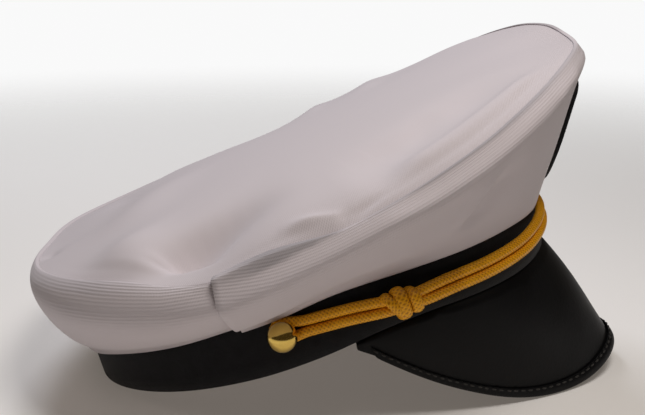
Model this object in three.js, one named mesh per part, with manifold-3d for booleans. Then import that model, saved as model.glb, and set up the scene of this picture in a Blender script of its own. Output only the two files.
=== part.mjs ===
import * as THREE from 'three';
import Module from 'manifold-3d';

// A soft-topped sailor cap, in millimetres.
// It is drawn standing level on the rim of its head band, u forward, v to the wearer's right and w up,
// and is then laid down on the back of the band and the edge of the peak, as it rests by itself.

// Head band
const band_length = 200;
const band_width = 164;
const band_squareness = 2.1;
const band_wall = 2.6;
const sewing_gap = 0.35;

// Height of the lower edge of the band over the level rim, by angle from the front, as a share of band_lift.
const band_lift = 6;
const band_lower_edge = [
  { angle: 0, lift: 0.27 },
  { angle: 31, lift: 0.35 },
  { angle: 47, lift: 0.6 },
  { angle: 56, lift: 0.8 },
  { angle: 66, lift: 1.0 },
  { angle: 77, lift: 0.88 },
  { angle: 84, lift: 0.55 },
  { angle: 93, lift: 0.2 },
  { angle: 103, lift: -0.05 },
  { angle: 122, lift: -0.18 },
  { angle: 150, lift: -0.1 },
  { angle: 180, lift: 0 },
];

// Height at which the crown cloth meets the band, as a share of join_height.
const join_height = 25;
const join_lap = 3.2;
const join_line = [
  { angle: 0, height: 0.8 },
  { angle: 12, height: 0.8 },
  { angle: 38, height: 0.89 },
  { angle: 53, height: 0.94 },
  { angle: 68, height: 1.0 },
  { angle: 79, height: 1.02 },
  { angle: 90, height: 0.975 },
  { angle: 104, height: 0.88 },
  { angle: 119, height: 0.75 },
  { angle: 141, height: 0.64 },
  { angle: 160, height: 0.52 },
  { angle: 180, height: 0.49 },
];

// Crown
const crown_length = 256;
const crown_width = 240;
const crown_forward = 9;
const crown_squareness = 2.15;
const crown_height = 80;
const cloth_thickness = 1.8;
const top_dome = 4;
const seam_groove = 0.6;

// The seam between top and side panels: height as a share of crown_height, reach as a share of the way
// from the band outline to the crown outline.
const seam_line = [
  { angle: 0, height: 1.0, reach: 0.92 },
  { angle: 21, height: 1.0, reach: 0.88 },
  { angle: 29, height: 0.985, reach: 0.88 },
  { angle: 46, height: 0.921, reach: 0.91 },
  { angle: 55, height: 0.865, reach: 0.92 },
  { angle: 63, height: 0.819, reach: 0.92 },
  { angle: 72, height: 0.766, reach: 0.92 },
  { angle: 79, height: 0.732, reach: 0.92 },
  { angle: 84, height: 0.7, reach: 0.92 },
  { angle: 88, height: 0.698, reach: 0.92 },
  { angle: 93, height: 0.686, reach: 0.92 },
  { angle: 99, height: 0.649, reach: 0.92 },
  { angle: 104, height: 0.618, reach: 0.88 },
  { angle: 111, height: 0.636, reach: 0.79 },
  { angle: 119, height: 0.68, reach: 0.73 },
  { angle: 132, height: 0.7, reach: 0.67 },
  { angle: 147, height: 0.715, reach: 0.6 },
  { angle: 165, height: 0.71, reach: 0.42 },
  { angle: 180, height: 0.7, reach: 0.3 },
];

// The wearer's left side of the crown stands a little otherwise than the right: by how much, as a share of
// left_lift, at an angle from the front.
const left_lift = 4;
const left_side_lift = [
  { angle: 0, share: 0 },
  { angle: 12, share: 1.1 },
  { angle: 30, share: 1.3 },
  { angle: 46, share: 1.35 },
  { angle: 60, share: 1.15 },
  { angle: 75, share: 1.25 },
  { angle: 84, share: 0.87 },
  { angle: 93, share: 0.18 },
  { angle: 105, share: 0.4 },
  { angle: 111, share: 0.5 },
  { angle: 119, share: -0.1 },
  { angle: 126, share: -0.4 },
  { angle: 143, share: -0.8 },
  { angle: 162, share: -0.3 },
  { angle: 180, share: 0 },
];

// Sections of the side panels below the seam: reach and height of the widest point, of the turn under the
// roll and of the slack skirt. Rise is how far the roll stands over the seam, as a share of roll_rise.
const roll_rise = 2;
const panel_sections = [
  { angle: 0, rise: 0, wide: 0.985, wide_height: 0.945, turn: 0.83, turn_height: 0.85,
    skirt: 0.4, skirt_height: 0.52 },
  { angle: 21, rise: 0, wide: 0.99, wide_height: 0.97, turn: 0.85, turn_height: 0.88,
    skirt: 0.4, skirt_height: 0.52 },
  { angle: 46, rise: 0, wide: 1.0, wide_height: 0.88, turn: 0.9, turn_height: 0.79,
    skirt: 0.41, skirt_height: 0.49 },
  { angle: 63, rise: 0.1, wide: 1.0, wide_height: 0.78, turn: 0.94, turn_height: 0.72,
    skirt: 0.43, skirt_height: 0.465 },
  { angle: 79, rise: 0.2, wide: 1.0, wide_height: 0.695, turn: 0.96, turn_height: 0.64,
    skirt: 0.45, skirt_height: 0.435 },
  { angle: 93, rise: 0.3, wide: 1.0, wide_height: 0.645, turn: 0.97, turn_height: 0.575,
    skirt: 0.48, skirt_height: 0.395 },
  { angle: 103, rise: 0.4, wide: 0.99, wide_height: 0.585, turn: 0.96, turn_height: 0.5,
    skirt: 0.5, skirt_height: 0.36 },
  { angle: 111, rise: 0.6, wide: 1.0, wide_height: 0.585, turn: 0.95, turn_height: 0.47,
    skirt: 0.5, skirt_height: 0.33 },
  { angle: 132, rise: 1.0, wide: 1.0, wide_height: 0.61, turn: 0.94, turn_height: 0.48,
    skirt: 0.52, skirt_height: 0.31 },
  { angle: 147, rise: 1.0, wide: 0.92, wide_height: 0.64, turn: 0.83, turn_height: 0.49,
    skirt: 0.48, skirt_height: 0.31 },
  { angle: 165, rise: 1.0, wide: 0.7, wide_height: 0.65, turn: 0.58, turn_height: 0.47,
    skirt: 0.37, skirt_height: 0.3 },
  { angle: 180, rise: 1.0, wide: 0.6, wide_height: 0.65, turn: 0.48, turn_height: 0.47,
    skirt: 0.33, skirt_height: 0.3 },
];
const side_seam_angle = 103;
const side_seam_lap = 6;
const lap_gap = 0.7;

// Dents and folds of the top panel: place, half spread along and across, turn in degrees and height of each,
// with place and spread as shares of half the crown length.
// Side is 1 for the wearer's right, -1 for the left.
const fold_height = 5;
const top_folds = [
  { side: 1, forward: -0.3, out: 0.72, along: 0.2, across: 0.09, turn: 30, height: -1.0 },
  { side: 1, forward: -0.56, out: 0.62, along: 0.2, across: 0.07, turn: 62, height: 0.6 },
  { side: 1, forward: 0.12, out: 0.8, along: 0.22, across: 0.06, turn: 8, height: 0.35 },
  { side: 1, forward: 0.3, out: 0.78, along: 0.13, across: 0.03, turn: -48, height: -0.5 },
  { side: 1, forward: -0.84, out: 0.14, along: 0.07, across: 0.05, turn: 20, height: -0.6 },
  { side: -1, forward: -0.3, out: 0.72, along: 0.2, across: 0.09, turn: 30, height: -1.0 },
  { side: -1, forward: -0.56, out: 0.62, along: 0.2, across: 0.07, turn: 62, height: 0.2 },
  { side: -1, forward: 0.12, out: 0.8, along: 0.22, across: 0.06, turn: 8, height: 0.5 },
];

// Soft folds of the side panels, by angle and share of the way down, spread likewise, height in or out.
const panel_folds = [
  { side: 1, angle: 42, down: 0.5, angle_spread: 7, down_spread: 0.35, lean: -9, height: 0.5 },
  { side: 1, angle: 60, down: 0.55, angle_spread: 12, down_spread: 0.3, lean: -6, height: -0.4 },
  { side: -1, angle: 48, down: 0.5, angle_spread: 8, down_spread: 0.35, lean: -9, height: 0.4 },
];

// Peak
const peak_angle = 82;
const peak_reach = 19.6;
const peak_drop = 62.4;
const peak_least_drop = 2.8;
const peak_lift_in_front = 0.16;
const peak_narrowing = 0.29;
const peak_leather = 2;
const peak_flange = 6;
const flange_leather = 1.4;

// Folded binding along the edge of the peak
const binding_width = 6.5;
const binding_leather = 1;
const binding_gap = 0.3;

// Chin cord
const strand_diameter = 4.1;
const strand_gap = 0.3;
const cord_lift = 0.45;
const cord_line = [
  { angle: 0, height: 14.4 },
  { angle: 20, height: 13 },
  { angle: 32, height: 12.4 },
  { angle: 45, height: 12.9 },
  { angle: 60, height: 14.4 },
  { angle: 70, height: 15.3 },
  { angle: 84, height: 16.7 },
  { angle: 95, height: 16.9 },
  { angle: 110, height: 16.9 },
];

// Slide knots, each of three slanted turns round both strands
const knot_angle = 70;
const knot_cord = 2.8;
const knot_turn_spacing = 2.5;
const knot_slant = 14;
const knot_slack = 0.35;

// Buttons
const button_angle = 94.5;
const button_diameter = 11.4;
const shank_diameter = 2.2;
const shank_plate_diameter = 6;
const shank_plate_thickness = 1.2;

// Badge patch
const badge_height = 40;
const badge_width = 50;
const badge_point = 8;
const badge_thickness = 1.2;
const badge_top_below_seam = 16;
const badge_flat_width = 17;

const radians = THREE.MathUtils.degToRad;

function place(u, v, w) {
  return new THREE.Vector3(-v, -u, w);
}

// Smooth curve through a column of a table, level at both ends.
function along(table, key, value, at) {
  const last = table.length - 1;
  if (at <= table[0][key]) return table[0][value];
  if (at >= table[last][key]) return table[last][value];
  let i = 0;
  while (table[i + 1][key] < at) i += 1;
  const slope = (j) => {
    if (j <= 0 || j >= last) return 0;
    const before = (table[j][value] - table[j - 1][value]) / (table[j][key] - table[j - 1][key]);
    const after = (table[j + 1][value] - table[j][value]) / (table[j + 1][key] - table[j][key]);
    return before * after <= 0 ? 0 : (2 * before * after) / (before + after);
  };
  const step = table[i + 1][key] - table[i][key];
  const t = (at - table[i][key]) / step;
  const a = table[i][value];
  const b = table[i + 1][value];
  const ta = slope(i) * step;
  const tb = slope(i + 1) * step;
  return a * (2 * t ** 3 - 3 * t ** 2 + 1) + ta * (t ** 3 - 2 * t ** 2 + t)
    + b * (3 * t ** 2 - 2 * t ** 3) + tb * (t ** 3 - t ** 2);
}

// Point of an upright oval at an angle from the front, grown outwards by grow.
function oval(degrees, length, width, squareness, grow = 0, forward = 0) {
  const c = Math.cos(radians(degrees));
  const s = Math.sin(radians(degrees));
  const u = (length / 2 + grow) * Math.sign(c) * Math.abs(c) ** (2 / squareness);
  const v = (width / 2 + grow) * Math.sign(s) * Math.abs(s) ** (2 / squareness);
  return { u: u + forward, v };
}

function bandPoint(degrees, grow = 0) {
  return oval(degrees, band_length, band_width, band_squareness, grow);
}

function bandOutward(degrees) {
  const a = bandPoint(degrees - 0.5);
  const b = bandPoint(degrees + 0.5);
  const du = b.u - a.u;
  const dv = b.v - a.v;
  const size = Math.hypot(du, dv);
  return { u: dv / size, v: -du / size };
}

// Angle that a distance along the band takes up there.
function angleOf(distance, degrees) {
  const a = bandPoint(degrees - 0.5);
  const b = bandPoint(degrees + 0.5);
  return distance / Math.hypot(b.u - a.u, b.v - a.v);
}

function bandBottom(degrees) {
  return band_lift * along(band_lower_edge, 'angle', 'lift', Math.abs(degrees));
}

function joinHeight(degrees) {
  return join_height * along(join_line, 'angle', 'height', Math.abs(degrees));
}

// Place at a share of the way from the band outline out to the crown outline.
function reachPoint(degrees, reach) {
  const inner = bandPoint(degrees);
  const outer = oval(degrees, crown_length, crown_width, crown_squareness, 0, crown_forward);
  return { u: inner.u + (outer.u - inner.u) * reach, v: inner.v + (outer.v - inner.v) * reach };
}

function reachSize(degrees) {
  const inner = reachPoint(degrees, 0);
  const outer = reachPoint(degrees, 1);
  return Math.hypot(outer.u - inner.u, outer.v - inner.v);
}

function seamAt(degrees) {
  const angle = Math.abs(degrees);
  const lift = degrees < 0 ? left_lift * along(left_side_lift, 'angle', 'share', angle) : 0;
  return {
    reach: along(seam_line, 'angle', 'reach', angle),
    height: crown_height * along(seam_line, 'angle', 'height', angle) + lift,
  };
}

function bump(x, y) {
  return Math.exp(-(x * x + y * y));
}

// One side panel section, from the seam down to the band, as points of its outer face.
const section_steps = 11;

function panelSection(degrees) {
  const angle = Math.abs(degrees);
  const size = reachSize(degrees);
  const seam = seamAt(degrees);
  const read = (name) => along(panel_sections, 'angle', name, angle);
  const join = joinHeight(degrees);
  const lifted = seam.height - crown_height * along(seam_line, 'angle', 'height', angle);
  const lip = (cloth_thickness + sewing_gap) / size;
  const rise = roll_rise * read('rise');
  const wideHeight = crown_height * read('wide_height') + lifted;
  const shoulder = (seam.height + rise) * 0.72 + wideHeight * 0.28;
  const knots = [
    [seam.reach, seam.height],
    [seam.reach + 1.6 / size, seam.height + rise * 0.5],
    [(seam.reach + read('wide')) / 2 + 0.8 / size, shoulder],
    [read('wide'), wideHeight],
    [read('turn'), crown_height * read('turn_height') + lifted * 0.8],
    [read('skirt'), crown_height * read('skirt_height')],
    [lip + 1.3 / size, join + 2.6],
    [lip, join],
  ];
  const [hem, ...run] = knots.map(([reach, height]) => new THREE.Vector3(reach * size, height, 0));
  const curve = new THREE.CatmullRomCurve3(run, false, 'centripetal');
  const points = [];
  for (let i = 0; i <= section_steps; i += 1) {
    const share = i / section_steps;
    const at = i === 0 ? hem : curve.getPointAt((i - 1) / (section_steps - 1));
    let swell = 0;
    for (const fold of panel_folds) {
      if (fold.side * degrees < 0) continue;
      const lean = fold.lean * (share - fold.down) / 0.5;
      swell += fold_height * fold.height
        * bump((angle - fold.angle - lean) / fold.angle_spread, (share - fold.down) / fold.down_spread);
    }
    const ease = Math.min(1, share * 4, (1 - share) * 4);
    const spot = reachPoint(degrees, (at.x + swell * ease * 0.6) / size);
    points.push(place(spot.u, spot.v, at.y));
  }
  return points;
}

// Gives every point of a grid its outward normal from its neighbours.
function gridNormals(grid) {
  return grid.map((column, i) => column.map((point, j) => {
    const left = grid[Math.max(0, i - 1)][j];
    const right = grid[Math.min(grid.length - 1, i + 1)][j];
    const above = column[Math.max(0, j - 1)];
    const below = column[Math.min(column.length - 1, j + 1)];
    const across = new THREE.Vector3().subVectors(right, left);
    const down = new THREE.Vector3().subVectors(below, above);
    return across.cross(down).normalize();
  }));
}

// Solid between an outer and an inner grid of points, closed at all its edges.
function sheetSolid(outer, inner, loop) {
  const columns = outer.length;
  const rows = outer[0].length;
  const positions = [];
  const faces = [];
  const number = (side, i, j) => (side * columns + (i % columns)) * rows + j;
  for (const grid of [outer, inner]) {
    for (const column of grid) {
      for (const point of column) positions.push(point.x, point.y, point.z);
    }
  }
  const quad = (a, b, c, d) => faces.push(a, b, c, a, c, d);
  const spans = loop ? columns : columns - 1;
  for (let i = 0; i < spans; i += 1) {
    for (let j = 0; j < rows - 1; j += 1) {
      quad(number(0, i, j), number(0, i + 1, j), number(0, i + 1, j + 1), number(0, i, j + 1));
      quad(number(1, i, j), number(1, i, j + 1), number(1, i + 1, j + 1), number(1, i + 1, j));
    }
    quad(number(0, i, 0), number(1, i, 0), number(1, i + 1, 0), number(0, i + 1, 0));
    const end = rows - 1;
    quad(number(0, i, end), number(0, i + 1, end), number(1, i + 1, end), number(1, i, end));
  }
  if (!loop) {
    const far = columns - 1;
    for (let j = 0; j < rows - 1; j += 1) {
      quad(number(0, 0, j), number(0, 0, j + 1), number(1, 0, j + 1), number(1, 0, j));
      quad(number(0, far, j), number(1, far, j), number(1, far, j + 1), number(0, far, j + 1));
    }
  }
  return indexed(positions, faces);
}

function indexed(positions, faces) {
  const geometry = new THREE.BufferGeometry();
  geometry.setAttribute('position', new THREE.Float32BufferAttribute(positions, 3));
  geometry.setIndex(faces);
  geometry.computeVertexNormals();
  return geometry;
}

function span(from, to, count) {
  return Array.from({ length: count + 1 }, (_, i) => from + ((to - from) * i) / count);
}

// Turns a grid that was laid out from the left to the right of the wearer into a solid of given thickness.
function thicken(grid, thickness, sink) {
  const normals = gridNormals(grid);
  const outer = grid.map((column, i) => column.map((point, j) =>
    point.clone().addScaledVector(normals[i][j], -sink(i))));
  const inner = outer.map((column, i) => column.map((point, j) =>
    point.clone().addScaledVector(normals[i][j], -thickness)));
  return sheetSolid(outer, inner, false);
}

function easeShare(share) {
  const held = THREE.MathUtils.clamp(share, 0, 1);
  return held * held * (3 - 2 * held);
}

function frontPanel() {
  const angles = span(-side_seam_angle, side_seam_angle, 42);
  const grid = angles.map((degrees) => panelSection(degrees));
  const proud = cloth_thickness + lap_gap;
  const lapped = side_seam_angle - side_seam_lap - 0.5;
  return thicken(grid, cloth_thickness, (i) => -proud * easeShare((Math.abs(angles[i]) - lapped + 12) / 12));
}

function rearPanel() {
  const start = side_seam_angle - side_seam_lap;
  const angles = [...span(start, side_seam_angle + 9, 4), ...span(side_seam_angle + 9, 180, 13).slice(1)];
  const mirrored = angles.slice(0, -1).reverse().map((angle) => 360 - angle);
  const all = [...angles, ...mirrored];
  const grid = all.map((angle) => panelSection(angle > 180 ? angle - 360 : angle));
  return thicken(grid, cloth_thickness, () => 0);
}

// Height of the top panel over the level rim.
function topHeight(u, v, share, degrees) {
  const edge = seamAt(degrees).height;
  const back = seamAt(180).height;
  const front = seamAt(0).height;
  const middle = THREE.MathUtils.clamp((u - crown_forward + crown_length / 2) / crown_length, 0, 1);
  const level = back + (front - back) * middle ** 1.25 + top_dome;
  const blend = share ** 4;
  let height = level + (edge - level) * blend;
  for (const fold of top_folds) {
    const du = (u - crown_forward) / (crown_length / 2) - fold.forward;
    const dv = fold.side * v / (crown_length / 2) - fold.out;
    const c = Math.cos(radians(fold.turn));
    const s = Math.sin(radians(fold.turn));
    const ease = Math.min(1, (1 - share) * 9);
    height += fold_height * fold.height * ease
      * bump((du * c - dv * s) / fold.along, (du * s + dv * c) / fold.across);
  }
  return height;
}

function crownTop() {
  const columns = 64;
  const shares = [1, 0.96, 0.87, 0.74, 0.58, 0.4, 0.2];
  const positions = [];
  const faces = [];
  const centre = { u: crown_forward + 4, v: 0 };
  const layers = [0, cloth_thickness];
  for (const depth of layers) {
    for (let i = 0; i < columns; i += 1) {
      const degrees = -180 + (360 * i) / columns;
      const seam = seamAt(degrees);
      const rim = reachPoint(degrees, seam.reach - seam_groove / reachSize(degrees));
      for (const share of shares) {
        const u = centre.u + (rim.u - centre.u) * share;
        const v = centre.v + (rim.v - centre.v) * share;
        const point = place(u, v, topHeight(u, v, share, degrees) - depth);
        positions.push(point.x, point.y, point.z);
      }
    }
    const point = place(centre.u, centre.v, topHeight(centre.u, centre.v, 0, 0) - depth);
    positions.push(point.x, point.y, point.z);
  }
  const rings = shares.length;
  const block = columns * rings + 1;
  const number = (layer, i, j) => layer * block + (i % columns) * rings + j;
  for (let i = 0; i < columns; i += 1) {
    for (let j = 0; j < rings - 1; j += 1) {
      const a = number(0, i, j);
      const b = number(0, i + 1, j);
      const c = number(0, i + 1, j + 1);
      const d = number(0, i, j + 1);
      faces.push(a, c, b, a, d, c);
      faces.push(a + block, b + block, c + block, a + block, c + block, d + block);
    }
    const last = rings - 1;
    faces.push(number(0, i, last), block - 1, number(0, i + 1, last));
    faces.push(number(1, i, last), number(1, i + 1, last), 2 * block - 1);
    faces.push(number(0, i, 0), number(0, i + 1, 0), number(1, i + 1, 0));
    faces.push(number(0, i, 0), number(1, i + 1, 0), number(1, i, 0));
  }
  return indexed(positions, faces);
}

const wasm = await Module();
wasm.setup();

function toManifold(geometry) {
  return new wasm.Manifold(new wasm.Mesh({
    numProp: 3,
    vertProperties: new Float32Array(geometry.getAttribute('position').array),
    triVerts: new Uint32Array(geometry.getIndex().array),
  }));
}

function fromManifold(solid) {
  const mesh = solid.getMesh();
  return indexed(Array.from(mesh.vertProperties), Array.from(mesh.triVerts));
}

// Closed rings of points joined into one solid: capped at both ends, or joined end to start.
function ringSolid(rings, closed) {
  const sides = rings[0].length;
  const positions = rings.flatMap((ring) => ring.flatMap((point) => [point.x, point.y, point.z]));
  const faces = [];
  const count = rings.length;
  for (let i = 0; i < (closed ? count : count - 1); i += 1) {
    const next = (i + 1) % count;
    for (let j = 0; j < sides; j += 1) {
      const k = (j + 1) % sides;
      faces.push(i * sides + j, i * sides + k, next * sides + k);
      faces.push(i * sides + j, next * sides + k, next * sides + j);
    }
  }
  if (!closed) {
    for (let j = 1; j < sides - 1; j += 1) {
      faces.push(0, j + 1, j);
      const base = (count - 1) * sides;
      faces.push(base, base + j, base + j + 1);
    }
  }
  return indexed(positions, faces);
}

// Closed tube along points, each with a direction that stays across it.
function loopTube(stations, radius, sides) {
  const count = stations.length;
  const rings = stations.map(({ point, out }, i) => {
    const before = stations[(i + count - 1) % count].point;
    const after = stations[(i + 1) % count].point;
    const forward = new THREE.Vector3().subVectors(after, before).normalize();
    const side = new THREE.Vector3().crossVectors(forward, out).normalize();
    const up = new THREE.Vector3().crossVectors(side, forward).normalize();
    return Array.from({ length: sides }, (_, j) => {
      const turn = (2 * Math.PI * (j + 0.5)) / sides;
      return point.clone()
        .addScaledVector(up, radius * Math.cos(turn))
        .addScaledVector(side, radius * Math.sin(turn));
    });
  });
  return ringSolid(rings, true);
}

// Band ring with a hole for each button shank.
function band() {
  const columns = 72;
  const outer = [];
  const inner = [];
  for (let i = 0; i < columns; i += 1) {
    const degrees = -180 + (360 * i) / columns;
    const bottom = bandBottom(degrees);
    const top = joinHeight(degrees) + join_lap;
    const out = bandPoint(degrees);
    const way = bandOutward(degrees);
    const heights = [top, (top + bottom) / 2, bottom];
    outer.push(heights.map((w) => place(out.u, out.v, w)));
    inner.push(heights.map((w) => place(out.u - way.u * band_wall, out.v - way.v * band_wall, w)));
  }
  let solid = toManifold(sheetSolid(outer, inner, true));
  for (const side of [1, -1]) {
    const wide = shank_diameter / 2 + sewing_gap;
    const hole = new THREE.CylinderGeometry(wide, wide, 12, 12);
    hole.applyMatrix4(shankMatrix(side, 0));
    solid = solid.subtract(toManifold(weld(hole)));
  }
  return fromManifold(solid);
}

function weld(geometry) {
  const position = geometry.getAttribute('position');
  const index = geometry.getIndex();
  const keys = new Map();
  const positions = [];
  const map = [];
  for (let i = 0; i < position.count; i += 1) {
    const values = [position.getX(i), position.getY(i), position.getZ(i)];
    const key = values.map((value) => Math.round(value * 1e4)).join(',');
    if (!keys.has(key)) {
      keys.set(key, positions.length / 3);
      positions.push(...values);
    }
    map.push(keys.get(key));
  }
  const faces = [];
  const total = index ? index.count : position.count;
  for (let i = 0; i < total; i += 3) {
    const [a, b, c] = [0, 1, 2].map((j) => map[index ? index.getX(i + j) : i + j]);
    if (a !== b && b !== c && c !== a) faces.push(a, b, c);
  }
  return indexed(positions, faces);
}

function cordHeight(degrees) {
  return along(cord_line, 'angle', 'height', Math.abs(degrees));
}

// Frame whose Y axis runs outwards through the middle of a button.
function shankMatrix(side, lift) {
  const degrees = side * button_angle;
  const at = bandPoint(degrees);
  const way = bandOutward(degrees);
  const centre = place(at.u + way.u * lift, at.v + way.v * lift, cordHeight(button_angle));
  const outward = place(way.u, way.v, 0);
  const up = new THREE.Vector3(0, 0, 1);
  const sideways = new THREE.Vector3().crossVectors(outward, up).normalize();
  return new THREE.Matrix4().makeBasis(sideways, outward, up).setPosition(centre);
}

const cord_radius = strand_diameter / 2;
const strand_half_spacing = cord_radius + strand_gap / 2;
const loop_half_spacing = shank_diameter / 2 + strand_gap + cord_radius;

// Distance from the band out to the middle of the strands, greater where a knot passes behind them.
function strandLift(degrees) {
  const flat = cord_lift + cord_radius;
  const raised = knot_cord + strand_gap + knot_slack;
  return flat + raised * bump((Math.abs(degrees) - knot_angle) / 8.5, 0) ** 0.9;
}

function cordStation(degrees, above, lift) {
  const at = bandPoint(degrees);
  const way = bandOutward(degrees);
  return {
    point: place(at.u + way.u * lift, at.v + way.v * lift, cordHeight(degrees) + above),
    out: place(way.u, way.v, 0),
  };
}

function chinCord() {
  const stations = [];
  const opening = angleOf(button_diameter * 0.8, button_angle);
  const spread = (degrees) => {
    const near = easeShare(1 - (button_angle - Math.abs(degrees)) / opening);
    return strand_half_spacing + (loop_half_spacing - strand_half_spacing) * near;
  };
  const half = [...span(0, knot_angle - 15, 6), ...span(knot_angle - 10, knot_angle + 10, 4),
    ...span(knot_angle + 15, button_angle, 3)];
  const angles = [...half.slice(1).reverse().map((angle) => -angle), ...half];
  const turnAt = (side, turn) => {
    const ahead = loop_half_spacing * Math.sin(turn);
    const degrees = side * (button_angle + angleOf(ahead, button_angle));
    return cordStation(degrees, loop_half_spacing * Math.cos(turn), cord_lift + cord_radius);
  };
  for (const degrees of angles) stations.push(cordStation(degrees, spread(degrees), strandLift(degrees)));
  for (const turn of [36, 72, 108, 144]) stations.push(turnAt(1, radians(turn)));
  for (const degrees of angles.slice().reverse()) {
    stations.push(cordStation(degrees, -spread(degrees), strandLift(degrees)));
  }
  for (const turn of [144, 108, 72, 36]) stations.push(turnAt(-1, radians(turn)));
  return loopTube(stations, cord_radius, 8);
}

// Three slanted turns of cord round both strands, fused where they press together.
function slideKnot(side) {
  const radius = knot_cord / 2;
  const clear = cord_radius + strand_gap + knot_slack + radius;
  let solid = null;
  for (const shift of [-1.5, -0.5, 0.5, 1.5]) {
    const stations = [];
    const steps = 12;
    for (let i = 0; i < steps; i += 1) {
      const turn = (2 * Math.PI * i) / steps;
      const c = Math.cos(turn);
      const s = Math.sin(turn);
      const above = Math.sign(c) * strand_half_spacing * Math.min(1, Math.abs(c) * 2) + clear * c;
      const slant = Math.tan(radians(knot_slant)) * above;
      const degrees = side * (knot_angle + angleOf(shift * knot_turn_spacing + slant, knot_angle));
      const station = cordStation(degrees, above, strandLift(side * knot_angle) + clear * s);
      const middle = cordStation(degrees, 0, strandLift(side * knot_angle));
      stations.push({
        point: station.point,
        out: new THREE.Vector3().subVectors(station.point, middle.point).normalize(),
      });
    }
    const ring = toManifold(loopTube(side > 0 ? stations : stations.reverse(), radius, 6));
    solid = solid ? solid.add(ring) : ring;
  }
  return fromManifold(solid);
}

function button(side) {
  const radius = button_diameter / 2;
  const base = cord_lift + strand_diameter + strand_gap;
  const back = radius * 0.6;
  const middle = base + back;
  const shank = shank_diameter / 2;
  const inside = -band_wall - sewing_gap;
  const profile = [
    new THREE.Vector2(0, inside - shank_plate_thickness),
    new THREE.Vector2(shank_plate_diameter / 2, inside - shank_plate_thickness),
    new THREE.Vector2(shank_plate_diameter / 2, inside),
    new THREE.Vector2(shank, inside),
    new THREE.Vector2(shank, base),
  ];
  const start = -Math.asin(back / radius);
  for (const share of span(0, 1, 6)) {
    const turn = start + (Math.PI / 2 - start) * share;
    const out = share === 1 ? 0 : radius * Math.cos(turn);
    profile.push(new THREE.Vector2(out, middle + radius * Math.sin(turn)));
  }
  const geometry = weld(new THREE.LatheGeometry(profile, 16));
  geometry.applyMatrix4(shankMatrix(side, 0));
  return geometry;
}

// Slant of the peak from its joint under the band to its free edge.
function peakColumn(degrees) {
  const share = Math.min(1, Math.abs(degrees) / peak_angle);
  const fall = (1 - share ** 3.69) ** 1.03;
  const reach = (1 - share ** 2) ** 0.9;
  const joint = bandPoint(degrees, -0.6);
  const low = bandBottom(degrees) - sewing_gap;
  const lift = peak_lift_in_front * Math.cos(radians(1.8 * degrees));
  const drop = peak_least_drop + peak_drop * fall * (1 - lift);
  return {
    joint: place(joint.u, joint.v, low),
    edge: place(joint.u + peak_reach * reach, joint.v * (1 - peak_narrowing * fall), low - drop),
  };
}

const peak_columns = 38;

function peakFrames() {
  const angles = span(-peak_angle, peak_angle, peak_columns).map((degrees) => {
    const share = degrees / peak_angle;
    return peak_angle * (share + Math.sin((share * Math.PI) / 2)) / 2;
  });
  const columns = angles.map((degrees) => ({ degrees, ...peakColumn(degrees) }));
  return columns.map((column, i) => {
    const before = columns[Math.max(0, i - 1)];
    const after = columns[Math.min(columns.length - 1, i + 1)];
    const upward = new THREE.Vector3().subVectors(column.joint, column.edge);
    const slant = upward.length();
    upward.normalize();
    const tangent = new THREE.Vector3().subVectors(after.edge, before.edge);
    const topTangent = new THREE.Vector3().subVectors(after.joint, before.joint);
    const edgeNormal = new THREE.Vector3().crossVectors(upward, tangent).normalize();
    const jointNormal = new THREE.Vector3().crossVectors(upward, topTangent).normalize();
    if (edgeNormal.dot(jointNormal) < 0) edgeNormal.negate();
    const bound = slant >= binding_width + 1.5;
    return { ...column, slant, upward, edgeNormal, jointNormal, bound };
  });
}

function peak() {
  const fold = binding_leather + binding_gap + 0.3;
  const outer = [];
  const inner = [];
  for (const column of peakFrames()) {
    const way = bandOutward(column.degrees);
    const outward = place(way.u, way.v, 0);
    const low = bandBottom(column.degrees);
    const wall = bandPoint(column.degrees);
    const flangeFace = place(wall.u, wall.v, low).addScaledVector(outward, -band_wall - sewing_gap);
    const upper = [
      flangeFace.clone().setZ(low + peak_flange),
      flangeFace.clone().setZ(low - sewing_gap),
    ];
    const lower = [
      upper[0].clone().addScaledVector(outward, -flange_leather),
      upper[1].clone().addScaledVector(outward, -flange_leather).setZ(low - sewing_gap - peak_leather * 0.8),
    ];
    const inset = column.bound ? fold : 0;
    const leather = column.slant - inset;
    const tip = column.edge.clone().addScaledVector(column.upward, inset);
    const open = column.bound ? 1 - (binding_width - inset + 1) / leather : 0.6;
    for (const share of [0, 0.2 * open, 0.5 * open, 0.8 * open, open, 1]) {
      const point = column.joint.clone().lerp(tip, share);
      const inside = Math.min(1, share / open);
      const normal = column.jointNormal.clone().lerp(column.edgeNormal, inside).normalize();
      const swell = Math.sin(Math.PI * inside) ** 2 * Math.min(1.2, leather * 0.03);
      const half = peak_leather / 2;
      upper.push(share === 0 ? column.joint.clone() : point.clone().addScaledVector(normal, half + swell));
      if (share === 0) {
        const knee = column.joint.clone().addScaledVector(outward, -peak_leather);
        lower.push(knee.setZ(low - sewing_gap - peak_leather));
      } else {
        lower.push(point.clone().addScaledVector(normal, swell - half));
      }
    }
    outer.push(upper);
    inner.push(lower);
  }
  return sheetSolid(outer, inner, false);
}

function peakBinding() {
  const outer = [];
  const inner = [];
  const half = peak_leather / 2 + binding_gap;
  const full = half + binding_leather;
  for (const column of peakFrames().filter(({ bound }) => bound)) {
    const width = binding_width;
    const fold = binding_leather;
    const at = (along_slant, away) => column.edge.clone()
      .addScaledVector(column.upward, along_slant)
      .addScaledVector(column.edgeNormal, away);
    outer.push([
      at(width, full), at(fold * 1.5, full), at(fold * 0.4, full * 0.7), at(0, 0),
      at(fold * 0.4, -full * 0.7), at(fold * 1.5, -full), at(width, -full),
    ]);
    inner.push([
      at(width, half), at(fold * 2, half), at(fold, half), at(fold, 0),
      at(fold, -half), at(fold * 2, -half), at(width, -half),
    ]);
  }
  return sheetSolid(outer, inner, false);
}

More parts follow.
